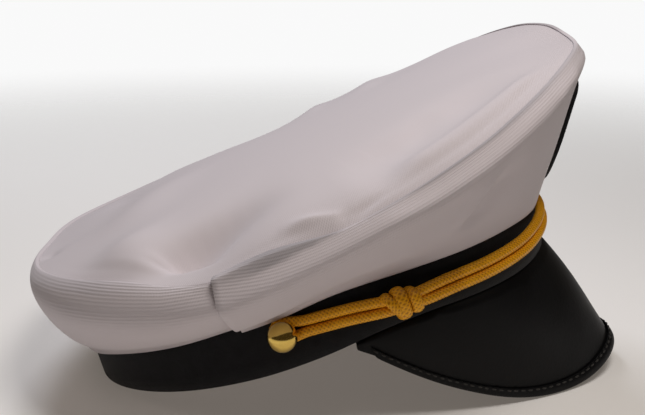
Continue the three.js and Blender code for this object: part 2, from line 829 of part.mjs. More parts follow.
// Outer face of the front panel at a given distance to the side and height.
function frontFace(v, w) {
  const heightAt = (degrees, target) => {
    const points = panelSection(degrees);
    for (let j = 3; j < points.length - 1; j += 1) {
      if (points[j].z >= target && points[j + 1].z < target) {
        const share = (points[j].z - target) / (points[j].z - points[j + 1].z);
        return points[j].clone().lerp(points[j + 1], share);
      }
    }
    return points[3];
  };
  let low = -60;
  let high = 60;
  for (let i = 0; i < 24; i += 1) {
    const middle = (low + high) / 2;
    if (-heightAt(middle, w).x < v) low = middle;
    else high = middle;
  }
  return heightAt((low + high) / 2, w);
}

// Shield-shaped patch laid on the front panel, with a flat strip down the middle of its face.
function badge() {
  const top = seamAt(0).height - badge_top_below_seam;
  const bottom = top - badge_height;
  const columns = 12;
  const rows = 5;
  const backs = [];
  for (let i = 0; i <= columns; i += 1) {
    const v = (badge_width / 2) * (-1 + (2 * i) / columns);
    const side = Math.abs(v) / (badge_width / 2);
    const upper = top - 3 * side ** 3;
    const lower = bottom + badge_height * 0.42 * side ** 2.2 + badge_point * 0.2 * side;
    const back = [];
    for (let j = 0; j <= rows; j += 1) {
      const w = upper + ((lower - upper) * j) / rows;
      back.push(new THREE.Vector3(-v, frontFace(v, w).y - sewing_gap - 0.2, w));
    }
    backs.push(back);
  }
  const spine = backs[columns / 2];
  const slope = (spine[rows].y - spine[0].y) / (spine[rows].z - spine[0].z);
  const bow = Math.max(...spine.map((point) => spine[0].y + slope * (point.z - spine[0].z) - point.y));
  const faceY = (w) => spine[0].y + slope * (w - spine[0].z) - bow - badge_thickness;
  const faces = backs.map((back) => back.map((point) => {
    const flat = Math.abs(point.x) <= badge_flat_width / 2 + 0.01;
    const y = flat ? faceY(point.z) : Math.max(faceY(point.z), point.y - badge_thickness - 0.4);
    return new THREE.Vector3(point.x, y, point.z);
  }));
  return sheetSolid(faces, backs, false);
}

function piece(name, geometry, colour, roughness, metalness = 0) {
  const flat = geometry.index ? geometry : weld(geometry);
  const finish = new THREE.MeshStandardMaterial({ name, color: colour, roughness, metalness });
  const mesh = new THREE.Mesh(flat, finish);
  mesh.name = name;
  return mesh;
}

function group(name, ...children) {
  const holder = new THREE.Group();
  holder.name = name;
  holder.add(...children);
  return holder;
}

const crown = group('crown',
  piece('crown_top', crownTop(), 0xd9d6de, 0.85),
  piece('front_side_panel', frontPanel(), 0xd0ccd0, 0.85),
  piece('rear_side_panel', rearPanel(), 0xcfcbcf, 0.85),
  piece('badge', badge(), 0x141417, 0.9));
const head_band = group('head_band', piece('band', band(), 0x17171b, 0.9));
const peak_group = group('peak_group',
  piece('peak', peak(), 0x111114, 0.45),
  piece('peak_binding', peakBinding(), 0x141416, 0.5));
const chin_strap = group('chin_strap',
  piece('chin_cord', chinCord(), 0xcf8c1e, 0.6),
  piece('slide_knot_right', slideKnot(1), 0xcf8c1e, 0.6),
  piece('slide_knot_left', slideKnot(-1), 0xcf8c1e, 0.6),
  piece('button_right', button(1), 0xb9973c, 0.25, 1),
  piece('button_left', button(-1), 0xb9973c, 0.25, 1));
const cap = group('cap', crown, head_band, peak_group, chin_strap);

// Angle at which the back of the band and the edge of the peak touch the ground together.
function restTilt() {
  const edge = peak_group.getObjectByName('peak_binding').geometry.getAttribute('position');
  const rim = head_band.getObjectByName('band').geometry.getAttribute('position');
  const lowest = (points, tilt) => {
    let least = Infinity;
    for (let i = 0; i < points.count; i += 1) {
      least = Math.min(least, points.getZ(i) * Math.cos(tilt) - points.getY(i) * Math.sin(tilt));
    }
    return least;
  };
  let flat = 0;
  let steep = radians(45);
  for (let i = 0; i < 40; i += 1) {
    const tilt = (flat + steep) / 2;
    if (lowest(edge, tilt) < lowest(rim, tilt)) flat = tilt;
    else steep = tilt;
  }
  return (flat + steep) / 2;
}

cap.rotation.x = -restTilt();
cap.updateMatrixWorld(true);
const extent = new THREE.Box3().setFromObject(cap, true);
const middle = extent.getCenter(new THREE.Vector3());
cap.position.set(-middle.x, -middle.y, -extent.min.z);

export default group('sailor_cap', cap);
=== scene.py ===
"""The sailor cap's looks: cloth, felt, leather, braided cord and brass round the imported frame."""

from math import asin, atan2, ceil, copysign, cos, degrees, exp, floor, hypot, pi, radians, sin, tan

import bmesh
import bpy
from bpy.props import FloatProperty, FloatVectorProperty, IntProperty, PointerProperty
from mathutils import Matrix, Vector
from mathutils.bvhtree import BVHTree


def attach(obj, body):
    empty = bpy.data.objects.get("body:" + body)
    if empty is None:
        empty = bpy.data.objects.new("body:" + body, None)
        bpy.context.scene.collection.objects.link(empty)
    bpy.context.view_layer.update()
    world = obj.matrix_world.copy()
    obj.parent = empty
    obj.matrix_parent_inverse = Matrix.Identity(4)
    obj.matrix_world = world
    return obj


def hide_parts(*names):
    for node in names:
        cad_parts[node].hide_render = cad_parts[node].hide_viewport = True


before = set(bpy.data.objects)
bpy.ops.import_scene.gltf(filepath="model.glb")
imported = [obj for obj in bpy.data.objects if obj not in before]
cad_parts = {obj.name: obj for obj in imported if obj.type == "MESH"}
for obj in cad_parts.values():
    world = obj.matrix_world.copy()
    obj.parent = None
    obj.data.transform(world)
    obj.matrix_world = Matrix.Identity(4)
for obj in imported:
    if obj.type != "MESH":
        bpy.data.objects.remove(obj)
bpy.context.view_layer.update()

bl_info = {
    "name": "Sailor cap",
    "version": (1, 0, 0),
    "blender": (4, 5, 0),
    "location": "View3D > Sidebar > Sailor cap",
    "description": "Sews, braids and finishes a white sailor cap round its packed frame",
    "category": "Add Mesh",
}

MM = 0.001

# The cap is drawn level on its band rim and then laid down on the rear of the band and the peak's edge.
REST_TILT = Matrix.Rotation(radians(-16.145), 3, "X")
REST_SHIFT = Vector((-0.0016, 4.4465, 27.8069)) * MM

# The band's outline, in millimetres, with u forward and v to the wearer's right.
BAND_LENGTH = 200
BAND_WIDTH = 164
BAND_SQUARENESS = 2.1

# The height of the chin cord's middle above the rim at each angle from the front.
CORD_LINE = (
    {"angle": 0, "height": 14.4},
    {"angle": 20, "height": 13.0},
    {"angle": 32, "height": 12.4},
    {"angle": 45, "height": 12.9},
    {"angle": 60, "height": 14.4},
    {"angle": 70, "height": 15.3},
    {"angle": 84, "height": 16.7},
    {"angle": 95, "height": 16.9},
    {"angle": 110, "height": 16.9},
)
KNOT_ANGLE = 70
BUTTON_ANGLE = 94.5

# The height of the band's lower edge over the rim.
BAND_LOWER_EDGE = (
    {"angle": 0, "height": 1.6},
    {"angle": 31, "height": 2.1},
    {"angle": 47, "height": 3.6},
    {"angle": 56, "height": 4.8},
    {"angle": 66, "height": 6.0},
    {"angle": 77, "height": 5.3},
    {"angle": 84, "height": 3.3},
    {"angle": 93, "height": 1.2},
)

# Half the way from one strand's middle to the other's along the band and round a button, and how much
# less it is inside a knot, and over what angle.
STRAND_HALF_SPACING = 2.2
LOOP_HALF_SPACING = 3.45
KNOT_PINCH = 0.6
PINCH_ANGLE = 4

# The strands part over this length before a button.
OPENING_LENGTH = 9.12

# The thickness of a knot's cord, what the strands rise by beside that to pass over it, and the angle in
# which they do.
KNOT_CORD = 2.8
KNOT_SLACK = 0.85
RISE_ANGLE = 8.5

# How far the middle of a strand stands off the band along it and round a button, and how far a knot's
# wrap stands off the strands.
STRAND_STAND_OFF = 2.3
BUTTON_LOOP_STAND_OFF = 2.5
WRAP_REACH = 4.1

# The peak's free edge: its angle at the corners, how far it stands out and hangs down, and its curve.
PEAK_ANGLE = 82
PEAK_REACH = 19.6
PEAK_DROP = 62.4
PEAK_LEAST_DROP = 2.8
PEAK_LIFT_IN_FRONT = 0.16
PEAK_NARROWING = 0.29
PEAK_CORNER_POWER = 3.69
SEWING_GAP = 0.35

# The crown's middle lies this far ahead of the band's.
CROWN_FORWARD = 9


def row_point(u, v, w):
    """A place in the cap's own millimetres, as a point of the frame in metres."""
    return REST_TILT @ Vector((-v * MM, -u * MM, w * MM)) + REST_SHIFT


def row_direction(u, v, w):
    return REST_TILT @ Vector((-v, -u, w))


def cap_place(point):
    """The cap's own u, v and w in millimetres of a point of the frame."""
    level = REST_TILT.transposed() @ (point - REST_SHIFT)
    return -level.y / MM, -level.x / MM, level.z / MM


def smooth_share(share):
    held = min(1, max(0, share))
    return held * held * (3 - 2 * held)


def along(rows, key, value, at):
    """The value of a table at a place between its rows, on one smooth line."""
    places = [row[key] for row in rows]
    values = [row[value] for row in rows]
    at = min(max(at, places[0]), places[-1])
    steps = [(values[i + 1] - values[i]) / (places[i + 1] - places[i]) for i in range(len(rows) - 1)]
    slopes = [0.0] * len(rows)
    for i in range(1, len(rows) - 1):
        if steps[i - 1] * steps[i] > 0:
            slopes[i] = 2 * steps[i - 1] * steps[i] / (steps[i - 1] + steps[i])
    i = max(k for k in range(len(rows) - 1) if places[k] <= at)
    width = places[i + 1] - places[i]
    t = (at - places[i]) / width
    rise = values[i + 1] - values[i]
    start, end = slopes[i] * width, slopes[i + 1] * width
    return values[i] + t * start + t * t * (3 * rise - 2 * start - end) + t**3 * (start + end - 2 * rise)


def band_point(angle, grow=0.0):
    c, s = cos(radians(angle)), sin(radians(angle))
    power = 2 / BAND_SQUARENESS
    u = (BAND_LENGTH / 2 + grow) * copysign(abs(c) ** power, c)
    v = (BAND_WIDTH / 2 + grow) * copysign(abs(s) ** power, s)
    return Vector((u, v))


def band_outward(angle):
    step = band_point(angle + 0.5) - band_point(angle - 0.5)
    return Vector((step.y, -step.x)).normalized()


def angle_of(distance, angle):
    return distance / (band_point(angle + 0.5) - band_point(angle - 0.5)).length


def cord_height(angle):
    return along(CORD_LINE, "angle", "height", abs(angle))


def strand_lift(angle):
    """How far a strand's middle stands off the band: it rises over the wraps behind a knot."""
    over_knot = exp(-0.9 * ((abs(angle) - KNOT_ANGLE) / RISE_ANGLE) ** 2)
    return STRAND_STAND_OFF + (KNOT_CORD + KNOT_SLACK) * over_knot


def strand_spread(angle):
    """How far a strand lies from the cord's line, which is less in a knot and more near a button."""
    near_button = 1 - (BUTTON_ANGLE - abs(angle)) / angle_of(OPENING_LENGTH, BUTTON_ANGLE)
    opening = (LOOP_HALF_SPACING - STRAND_HALF_SPACING) * smooth_share(near_button)
    pinch = KNOT_PINCH * exp(-(((abs(angle) - KNOT_ANGLE) / PINCH_ANGLE) ** 2))
    return STRAND_HALF_SPACING + opening - pinch


def on_strap(angle, above, lift):
    """A point over the band: above the cord's line, and lifted off the cloth."""
    foot = band_point(angle)
    outward = band_outward(angle)
    return row_point(foot.x + outward.x * lift, foot.y + outward.y * lift, cord_height(angle) + above)


def strap_outward(angle):
    outward = band_outward(angle)
    return row_direction(outward.x, outward.y, 0).normalized()


# Meshes


def finished(bm, name, slot, material, *nodes):
    """Makes the mesh an object of the cap, in the place of the nodes it stands for."""
    mesh = bpy.data.meshes.new(name)
    bm.to_mesh(mesh)
    bm.free()
    for face in mesh.polygons:
        face.use_smooth = True
    piece = bpy.data.objects.new(name, mesh)
    bpy.context.scene.collection.objects.link(piece)
    mesh.materials.append(material)
    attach(piece, "root")
    if nodes:
        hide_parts(*nodes)
    return piece


def merged_node(node, fold_angle=50, crease=0.55):
    """The node's surface as quads, with its hems and corners creased."""
    bm = bmesh.new()
    bm.from_mesh(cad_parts[node].data)
    for layer in list(bm.loops.layers.uv):
        bm.loops.layers.uv.remove(layer)
    bmesh.ops.remove_doubles(bm, verts=bm.verts, dist=2e-6)
    bmesh.ops.dissolve_degenerate(bm, edges=bm.edges, dist=1e-6)
    bmesh.ops.join_triangles(
        bm,
        faces=bm.faces,
        angle_face_threshold=radians(35),
        angle_shape_threshold=radians(75),
    )
    creases = bm.edges.layers.float.get("crease_edge") or bm.edges.layers.float.new("crease_edge")
    for edge in bm.edges:
        if len(edge.link_faces) == 2 and edge.calc_face_angle(0) > radians(fold_angle):
            edge[creases] = crease
    return bm


def subdivided(bm, levels):
    """The same surface after Catmull-Clark subdivision."""
    mesh = bpy.data.meshes.new("rough")
    bm.to_mesh(mesh)
    bm.free()
    rough = bpy.data.objects.new("rough", mesh)
    bpy.context.scene.collection.objects.link(rough)
    refine = rough.modifiers.new("smooth", "SUBSURF")
    refine.levels = refine.render_levels = levels
    refine.boundary_smooth = "PRESERVE_CORNERS"
    scene_graph = bpy.context.evaluated_depsgraph_get()
    fine = bpy.data.meshes.new_from_object(rough.evaluated_get(scene_graph))
    out = bmesh.new()
    out.from_mesh(fine)
    bpy.data.objects.remove(rough)
    bpy.data.meshes.remove(mesh)
    bpy.data.meshes.remove(fine)
    return out


# Materials


def new_tree(name):
    material = bpy.data.materials.new(name)
    material.use_nodes = True
    tree = material.node_tree
    tree.nodes.clear()
    out = tree.nodes.new("ShaderNodeOutputMaterial")
    skin = tree.nodes.new("ShaderNodeBsdfPrincipled")
    tree.links.new(skin.outputs[0], out.inputs[0])
    return material, tree, skin


def put(tree, kind, settings=None, **inputs):
    """A node with its settings, its inputs linked or set by name."""
    made = tree.nodes.new("ShaderNode" + kind)
    for key, value in (settings or {}).items():
        setattr(made, key, value)
    for key, value in inputs.items():
        numbered = key[0] == "i" and key[1:].isdigit()
        socket = made.inputs[int(key[1:]) if numbered else key.replace("_", " ")]
        if isinstance(value, bpy.types.NodeSocket):
            tree.links.new(value, socket)
        else:
            socket.default_value = value
    return made


def worked(tree, operation, a, b=0.0, c=0.0):
    return put(tree, "Math", {"operation": operation}, i0=a, i1=b, i2=c).outputs[0]


def blend(tree, share, low, high):
    mixed = put(tree, "Mix", {"data_type": "RGBA"}, i0=share, i6=low, i7=high)
    return mixed.outputs[2]


def grown(tree, source, scale, detail=2.0, roughness=0.5):
    return put(tree, "TexNoise", Vector=source, Scale=scale, Detail=detail, Roughness=roughness).outputs[0]


def raised(tree, skin, height, distance):
    bump = put(tree, "Bump", Height=height, Distance=distance)
    tree.links.new(bump.outputs[0], skin.inputs["Normal"])


def shade(skin, **values):
    for key, value in values.items():
        skin.inputs[key.replace("_", " ")].default_value = value


def four(colour, gain=1.0):
    return (min(1, colour[0] * gain), min(1, colour[1] * gain), min(1, colour[2] * gain), 1)


# How far the yarns lean off the square, the tint that the cloth's colour gets, and how much painted shade
# darkens the cloth along the seam line.
YARN_LEAN = 2100
WARM_TINT = (1.08, 1.03, 1.0)
SEAM_PAINTED_SHADE = 0.62


def twill_cloth(look):
    """White cotton twill: raised ribs along the weave, yarns across them, and painted shade in the seam's
    groove.
    """
    material, tree, skin = new_tree("white twill")
    place = put(tree, "UVMap", {"uv_map": "weave"}).outputs[0]
    spot = put(tree, "TexCoord").outputs["Object"]
    split = put(tree, "SeparateXYZ", i0=place)
    sway = worked(tree, "MULTIPLY", grown(tree, spot, 40, 1.0), 0.0004)
    across = worked(tree, "ADD", split.outputs[1], sway)
    rib = worked(tree, "SINE", worked(tree, "MULTIPLY", across, 2 * pi / look.rib_spacing))
    lean = worked(tree, "MULTIPLY", across, YARN_LEAN)
    turn = worked(tree, "MULTIPLY_ADD", split.outputs[0], 2 * pi / look.yarn_spacing, lean)
    yarn = worked(tree, "SINE", turn)
    worn = put(tree, "Attribute", {"attribute_name": "crisp"}).outputs["Fac"]
    height = worked(tree, "MULTIPLY", worked(tree, "MULTIPLY_ADD", yarn, 0.25, rib), worn)
    raised(tree, skin, height, look.rib_height)
    warm = [part * tint for part, tint in zip(look.cloth_colour, WARM_TINT)]
    # Painted shade: the colour goes darker towards the seam, where shade falls in its groove.
    painted_seam_shade = put(tree, "Attribute", {"attribute_name": "painted_seam_shade"}).outputs["Fac"]
    shaded = worked(tree, "MULTIPLY", painted_seam_shade, SEAM_PAINTED_SHADE)
    colour = blend(tree, shaded, (*warm, 1), four(look.cloth_colour, 0.3))
    tree.links.new(colour, skin.inputs["Base Color"])
    shade(skin, Roughness=0.78, Sheen_Weight=0.15, Sheen_Roughness=0.4, Specular_IOR_Level=0.3)
    return material


def wool_felt(name, colour, fuzz=0.00012, scale=1500):
    material, tree, skin = new_tree(name)
    spot = put(tree, "TexCoord").outputs["Object"]
    hair = grown(tree, spot, scale, 4.0, 0.65)
    flock = grown(tree, spot, 220, 3.0, 0.6)
    raised(tree, skin, worked(tree, "MULTIPLY_ADD", flock, 0.6, hair), fuzz)
    tint = blend(tree, worked(tree, "MULTIPLY", hair, flock), four(colour, 0.5), four(colour, 2.4))
    tree.links.new(tint, skin.inputs["Base Color"])
    shade(skin, Roughness=0.92, Sheen_Weight=0.12, Sheen_Roughness=0.5, Specular_IOR_Level=0.2)
    return material


def black_leather(name, colour, roughness, grain):
    material, tree, skin = new_tree(name)
    spot = put(tree, "TexCoord").outputs["Object"]
    sway = put(tree, "TexNoise", Vector=spot, Scale=300.0).outputs[1]
    little = (0.002, 0.002, 0.002)
    bent = put(tree, "VectorMath", {"operation": "MULTIPLY_ADD"}, i0=sway, i1=little, i2=spot).outputs[0]
    grains = put(tree, "TexVoronoi", {"feature": "SMOOTH_F1"}, Vector=bent, Scale=750.0, Smoothness=0.6)
    wear = grown(tree, spot, 35, 3.0)
    raised(tree, skin, worked(tree, "MULTIPLY_ADD", wear, 3.0, grains.outputs[0]), grain)
    tint = blend(tree, wear, four(colour, 0.6), four(colour, 1.7))
    tree.links.new(tint, skin.inputs["Base Color"])
    rough = put(tree, "MapRange", i0=wear, i1=0.3, i2=0.7, i3=roughness - 0.06, i4=roughness + 0.08)
    tree.links.new(rough.outputs[0], skin.inputs["Roughness"])
    shade(skin, Coat_Weight=0.03, Coat_Roughness=0.3, Specular_IOR_Level=0.1)
    return material


def golden_braid(look):
    """Rayon braid: its golden colour on the yarns' backs, and painted reddish-brown shade down between them.
    """
    material, tree, skin = new_tree("golden braid")
    relief = put(tree, "Attribute", {"attribute_name": "relief"}).outputs["Fac"]
    spot = put(tree, "TexCoord").outputs["Object"]
    fibre = grown(tree, spot, 2600, 2.0)
    patch = grown(tree, spot, 90, 2.0)
    lit = worked(tree, "MULTIPLY_ADD", patch, 0.35, worked(tree, "MULTIPLY_ADD", fibre, 0.25, relief))
    share = put(tree, "MapRange", i0=lit, i1=0.5, i2=1.04).outputs[0]
    # Painted shade: where the relief is low, down between the yarns, the colour goes to the reddish-brown
    # shade.
    colour = blend(tree, share, four(look.cord_painted_shade), four(look.cord_colour))
    tree.links.new(colour, skin.inputs["Base Color"])
    raised(tree, skin, fibre, 0.00006)
    shade(skin, Roughness=0.36, Sheen_Weight=0.05, Sheen_Roughness=0.35)
    shade(skin, Specular_IOR_Level=0.7, Specular_Tint=(1.0, 0.78, 0.4, 1.0))
    return material


def polished_brass(look):
    material, tree, skin = new_tree("polished brass")
    spot = put(tree, "TexCoord").outputs["Object"]
    haze = grown(tree, spot, 420, 4.0)
    tint = blend(tree, haze, four(look.brass_colour, 0.86), four(look.brass_colour, 1.06))
    tree.links.new(tint, skin.inputs["Base Color"])
    rough = put(tree, "MapRange", i0=haze, i3=0.1, i4=0.2).outputs[0]
    tree.links.new(rough, skin.inputs["Roughness"])
    raised(tree, skin, haze, 0.00002)
    shade(skin, Metallic=1.0)
    return material


def waxed_thread(colour):
    material, tree, skin = new_tree("waxed thread")
    spot = put(tree, "TexCoord").outputs["Object"]
    ply = grown(tree, spot, 1800, 2.0)
    tree.links.new(blend(tree, ply, four(colour, 0.5), four(colour, 1.5)), skin.inputs["Base Color"])
    raised(tree, skin, ply, 0.00008)
    shade(skin, Roughness=0.6, Sheen_Weight=0.05, Specular_IOR_Level=0.2)
    return material


# Settings


class ClothSettings(bpy.types.PropertyGroup):
    cloth_colour: FloatVectorProperty(
        name="Cloth colour", description="Colour of the white twill",
        subtype="COLOR", default=(0.6, 0.57, 0.61), min=0, max=1,
    )
    rib_spacing: FloatProperty(
        name="Rib spacing", description="From one rib of the twill to the next",
        unit="LENGTH", default=0.00138, min=0.0002,
    )
    rib_height: FloatProperty(
        name="Rib height", description="How far a rib stands up", unit="LENGTH", default=0.000046, min=0
    )
    yarn_spacing: FloatProperty(
        name="Yarn spacing", description="From one yarn to the next along a rib",
        unit="LENGTH", default=0.0006, min=0.0002,
    )
    felt_colour: FloatVectorProperty(
        name="Felt colour", description="Colour of the band and the badge patch",
        subtype="COLOR", default=(0.009, 0.009, 0.0105), min=0, max=1,
    )
    levels: IntProperty(
        name="Smoothing", description="Subdivision steps of the cloth",
        default=2, min=1, max=3,
    )


class StrapSettings(bpy.types.PropertyGroup):
    cord_colour: FloatVectorProperty(
        name="Cord colour", description="Colour of the braid's yarns",
        subtype="COLOR", default=(1.0, 0.48, 0.012), min=0, max=1,
    )
    # Painted shade: the colour given down between the yarns, where shade falls.
    cord_painted_shade: FloatVectorProperty(
        name="Cord shade", description="Colour between the yarns",
        subtype="COLOR", default=(0.4, 0.085, 0.001), min=0, max=1,
    )
    strand_diameter: FloatProperty(
        name="Strand diameter", description="Thickness of one strand of the chin cord",
        unit="LENGTH", default=0.0041, min=0.001,
    )
    braid_pitch: FloatProperty(
        name="Braid pitch", description="Length in which a yarn goes once round the strand",
        unit="LENGTH", default=0.0095, min=0.002,
    )
    yarns: IntProperty(
        name="Yarns each way", description="Yarns that run each way round a strand",
        default=6, min=3, max=12,
    )
    button_diameter: FloatProperty(
        name="Button diameter", description="Width of the brass ball",
        unit="LENGTH", default=0.0114, min=0.005,
    )
    brass_colour: FloatVectorProperty(
        name="Brass colour", description="Colour of the buttons",
        subtype="COLOR", default=(0.84, 0.59, 0.15), min=0, max=1,
    )


class PeakSettings(bpy.types.PropertyGroup):
    leather_colour: FloatVectorProperty(
        name="Leather colour", description="Colour of the peak",
        subtype="COLOR", default=(0.0045, 0.0045, 0.005), min=0, max=1,
    )
    gloss: FloatProperty(name="Leather roughness", description="Low is glossy", default=0.42, min=0.05, max=1)
    stitch_spacing: FloatProperty(
        name="Stitch spacing", description="From one stitch of the bound edge to the next",
        unit="LENGTH", default=0.0036, min=0.001,
    )
    stitch_length: FloatProperty(
        name="Stitch length", description="Length of thread that shows in a stitch",
        unit="LENGTH", default=0.0025, min=0.0005,
    )
    thread_colour: FloatVectorProperty(
        name="Thread colour", description="Colour of the stitches",
        subtype="COLOR", default=(0.03, 0.028, 0.026), min=0, max=1,
    )


class StudioSettings(bpy.types.PropertyGroup):
    floor_colour: FloatVectorProperty(
        name="Floor colour", description="Colour of the pale floor",
        subtype="COLOR", default=(0.78, 0.77, 0.76), min=0, max=1,
    )
    floor_glow: FloatProperty(
        name="Floor glow", description="Light that the floor gives from below",
        default=0.13, min=0,
    )
    key_power: FloatProperty(
        name="Key light", description="Power of the soft light overhead",
        unit="POWER", default=5.1, min=0,
    )
    ambient: FloatProperty(
        name="Ambient", description="Strength of the light from all round",
        default=0.045, min=0,
    )
    camera_height: FloatProperty(
        name="Camera elevation", description="The photograph's angle above the level",
        subtype="ANGLE", default=radians(14),
    )


# The crown's cloth

# Folds of the crown's top in the cap's own millimetres: each is a line bent towards its middle place, with
# half its width, its lift, and the shares of its length over which it rises at its start and its end.
TOP_FOLDS = (
    {"from": (-37, 97), "by": (-32, 78), "to": (14, 82), "wide": 9.5, "lift": -8.0, "in": 0.2, "out": 0.8},
    {"from": (-33, 99), "by": (-33, 94), "to": (-31, 86), "wide": 8, "lift": -1.6, "in": 0.4, "out": 0.6},
    {"from": (-45, 100), "by": (-57, 84), "to": (-61, 42), "wide": 13, "lift": 2.6, "in": 0.3, "out": 0.5},
    {"from": (-60, 62), "by": (-70, 0), "to": (-30, -36), "wide": 14, "lift": 2.6, "in": 0.4, "out": 0.5},
    {"from": (40, 102), "by": (86, 88), "to": (114, 44), "wide": 6.5, "lift": 2.5, "in": 0.2, "out": 0.3},
    {"from": (24, 88), "by": (74, 72), "to": (102, 30), "wide": 14, "lift": -3.8, "in": 0.3, "out": 0.4},
    {"from": (25, 116), "by": (32, 113), "to": (44, 105), "wide": 2.4, "lift": -3.4, "in": 0.1, "out": 0.8},
    {"from": (0, 104), "by": (14, 109), "to": (25, 113), "wide": 3.8, "lift": 2.6, "in": 0.6, "out": 0.1},
    {"from": (-104, 25), "by": (-101, 31), "to": (-97, 40), "wide": 4, "lift": -3.2, "in": 0.4, "out": 0.5},
    {"from": (14, -52), "by": (17, -80), "to": (16, -108), "wide": 7, "lift": 1.5, "in": 0.4, "out": 0.2},
    {"from": (42, -58), "by": (46, -82), "to": (46, -106), "wide": 8, "lift": 1.6, "in": 0.4, "out": 0.2},
    {"from": (66, 46), "by": (60, 62), "to": (54, 80), "wide": 6, "lift": -0.7, "in": 0.4, "out": 0.4},
    {"from": (-36, -97), "by": (-30, -78), "to": (10, -80), "wide": 10, "lift": -2.6, "in": 0.2, "out": 0.8},
    {"from": (40, -102), "by": (86, -88), "to": (114, -44), "wide": 7, "lift": 1.2, "in": 0.2, "out": 0.3},
    {"from": (-88, -46), "by": (-74, -30), "to": (-66, -6), "wide": 9, "lift": -1.4, "in": 0.4, "out": 0.5},
)

# Folds of the side panels in the same way. A place here is an angle from the front and a height.
PANEL_FOLDS = (
    {"from": (52, 60), "by": (56, 50), "to": (60, 33), "wide": 3.4, "lift": 3.8, "in": 0.4, "out": 0.3},
    {"from": (47, 58), "by": (51, 46), "to": (55, 32), "wide": 4.4, "lift": -3.6, "in": 0.4, "out": 0.3},
    {"from": (118, 34), "by": (135, 36), "to": (150, 38), "wide": 6, "lift": -0.9, "in": 0.4, "out": 0.4},
    {"from": (-50, 56), "by": (-56, 48), "to": (-62, 36), "wide": 5, "lift": 0.8, "in": 0.4, "out": 0.3},
    {"from": (-125, 40), "by": (-138, 36), "to": (-150, 38), "wide": 6, "lift": -0.9, "in": 0.4, "out": 0.4},
)

# A fold's line is worked out in this many steps, and it reaches this many half widths to each side.
FOLD_STEPS = 10
FOLD_SPREAD = 2.6

# Where the side seam lies, and the roll under the crown's seam that the weave goes round.
SIDE_SEAM_U = -25
ROLL_RADIUS = 9
ROLL_DROP = 6
ROLL_LENGTH = 17

# The crown's seam by the angle from the front: how far its edges are drawn in, the roll's bulge under it,
# how deep the seam lies and how far the top's edge is pressed into the panels.
SEAM_ROLLS = (
    {"angle": 0, "inward": 2.6, "bulge": 0.0, "dip": 0.7, "closing": 1.4},
    {"angle": 25, "inward": 2.6, "bulge": 0.0, "dip": 0.7, "closing": 1.4},
    {"angle": 45, "inward": 2.5, "bulge": 1.2, "dip": 1.1, "closing": 1.2},
    {"angle": 70, "inward": 2.2, "bulge": 2.2, "dip": 1.4, "closing": 1.2},
    {"angle": 95, "inward": 1.8, "bulge": 2.2, "dip": 1.3, "closing": 1.1},
    {"angle": 107, "inward": 1.0, "bulge": 1.2, "dip": 0.2, "closing": 1.1},
    {"angle": 118, "inward": 0.0, "bulge": 0.0, "dip": 0.1, "closing": 1.1},
    {"angle": 132, "inward": 0.0, "bulge": 0.0, "dip": 0.5, "closing": 1.2},
    {"angle": 150, "inward": 0.0, "bulge": 0.0, "dip": 0.2, "closing": 1.6},
    {"angle": 180, "inward": 0.0, "bulge": 0.0, "dip": 0.1, "closing": 1.8},
)


def seam_value(key, angle):
    return along(SEAM_ROLLS, "angle", key, abs(angle))


FAR_GAP = 1.5


def far_gap(angle):
    """What the panel stands off more on the wearer's left, before its lap."""
    return FAR_GAP * smooth_share((-angle - 50) / 30) * smooth_share((112 + angle) / 6)


def fold_lines(folds):
    """Each fold with the points of its bent line."""
    lines = []
    for fold in folds:
        a, b, c = (Vector(fold[place]) for place in ("from", "by", "to"))
        points = []
        for i in range(FOLD_STEPS + 1):
            t = i / FOLD_STEPS
            points.append(a * (1 - t) ** 2 + b * 2 * t * (1 - t) + c * t**2)
        lines.append((fold, points))
    return lines


def fold_height(lines, place):
    """How far the folds lift the cloth at a place."""
    total = 0.0
    for fold, points in lines:
        reach = fold["wide"] * FOLD_SPREAD
        if (place - points[FOLD_STEPS // 2]).length > (points[0] - points[-1]).length + reach:
            continue
        nearest, share = 1e9, 0.0
        for i in range(FOLD_STEPS):
            step = points[i + 1] - points[i]
            t = min(1, max(0, (place - points[i]).dot(step) / step.length_squared))
            away = (place - points[i] - step * t).length
            if away < nearest:
                nearest, share = away, (i + t) / FOLD_STEPS
        if nearest < reach:
            ends = smooth_share(share / fold["in"]) * smooth_share((1 - share) / fold["out"])
            total += fold["lift"] * exp(-((nearest / fold["wide"]) ** 2)) * ends
    return total


def angle_round(u, v):
    """The angle from the front, round the crown's middle."""
    return degrees(atan2(v, u - CROWN_FORWARD))


def reach_of(u, v):
    return hypot(u - CROWN_FORWARD, v)


def crown_outward(u, v):
    return row_direction(u - CROWN_FORWARD, v, 0).normalized()


def seam_rims():
    """The reach and height of the crown's seam, for each ten degrees round the cap."""
    rims = [(0.0, 0.0)] * 36
    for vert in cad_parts["crown_top"].data.vertices:
        u, v, w = cap_place(vert.co)
        index = int(angle_round(u, v) // 10) % 36
        if reach_of(u, v) > rims[index][0]:
            rims[index] = (reach_of(u, v), w)
    return rims


def evened(rims):
    """The rims with each drawn half way to the middle of its neighbours."""
    out = []
    for i, (reach, height) in enumerate(rims):
        before, after = rims[i - 1], rims[(i + 1) % len(rims)]
        out.append(((before[0] + 2 * reach + after[0]) / 4, (before[1] + 2 * height + after[1]) / 4))
    return out


def rim_at(rims, u, v):
    """The reach and height of the seam beyond a place."""
    at = angle_round(u, v) / 10 - 0.5
    low, share = floor(at), at - floor(at)
    a, b = rims[low % 36], rims[(low + 1) % 36]
    if not a[0] or not b[0]:
        return a if a[0] else b
    return a[0] + (b[0] - a[0]) * share, a[1] + (b[1] - a[1]) * share


# The shares of the way to the seam at which the top's edge starts to go down, out and in, and how steeply
# the folds fade out at the seam.
DIP_START = 0.965
CLOSING_START = 0.95
INWARD_START = 0.9
FOLD_FADE = 12

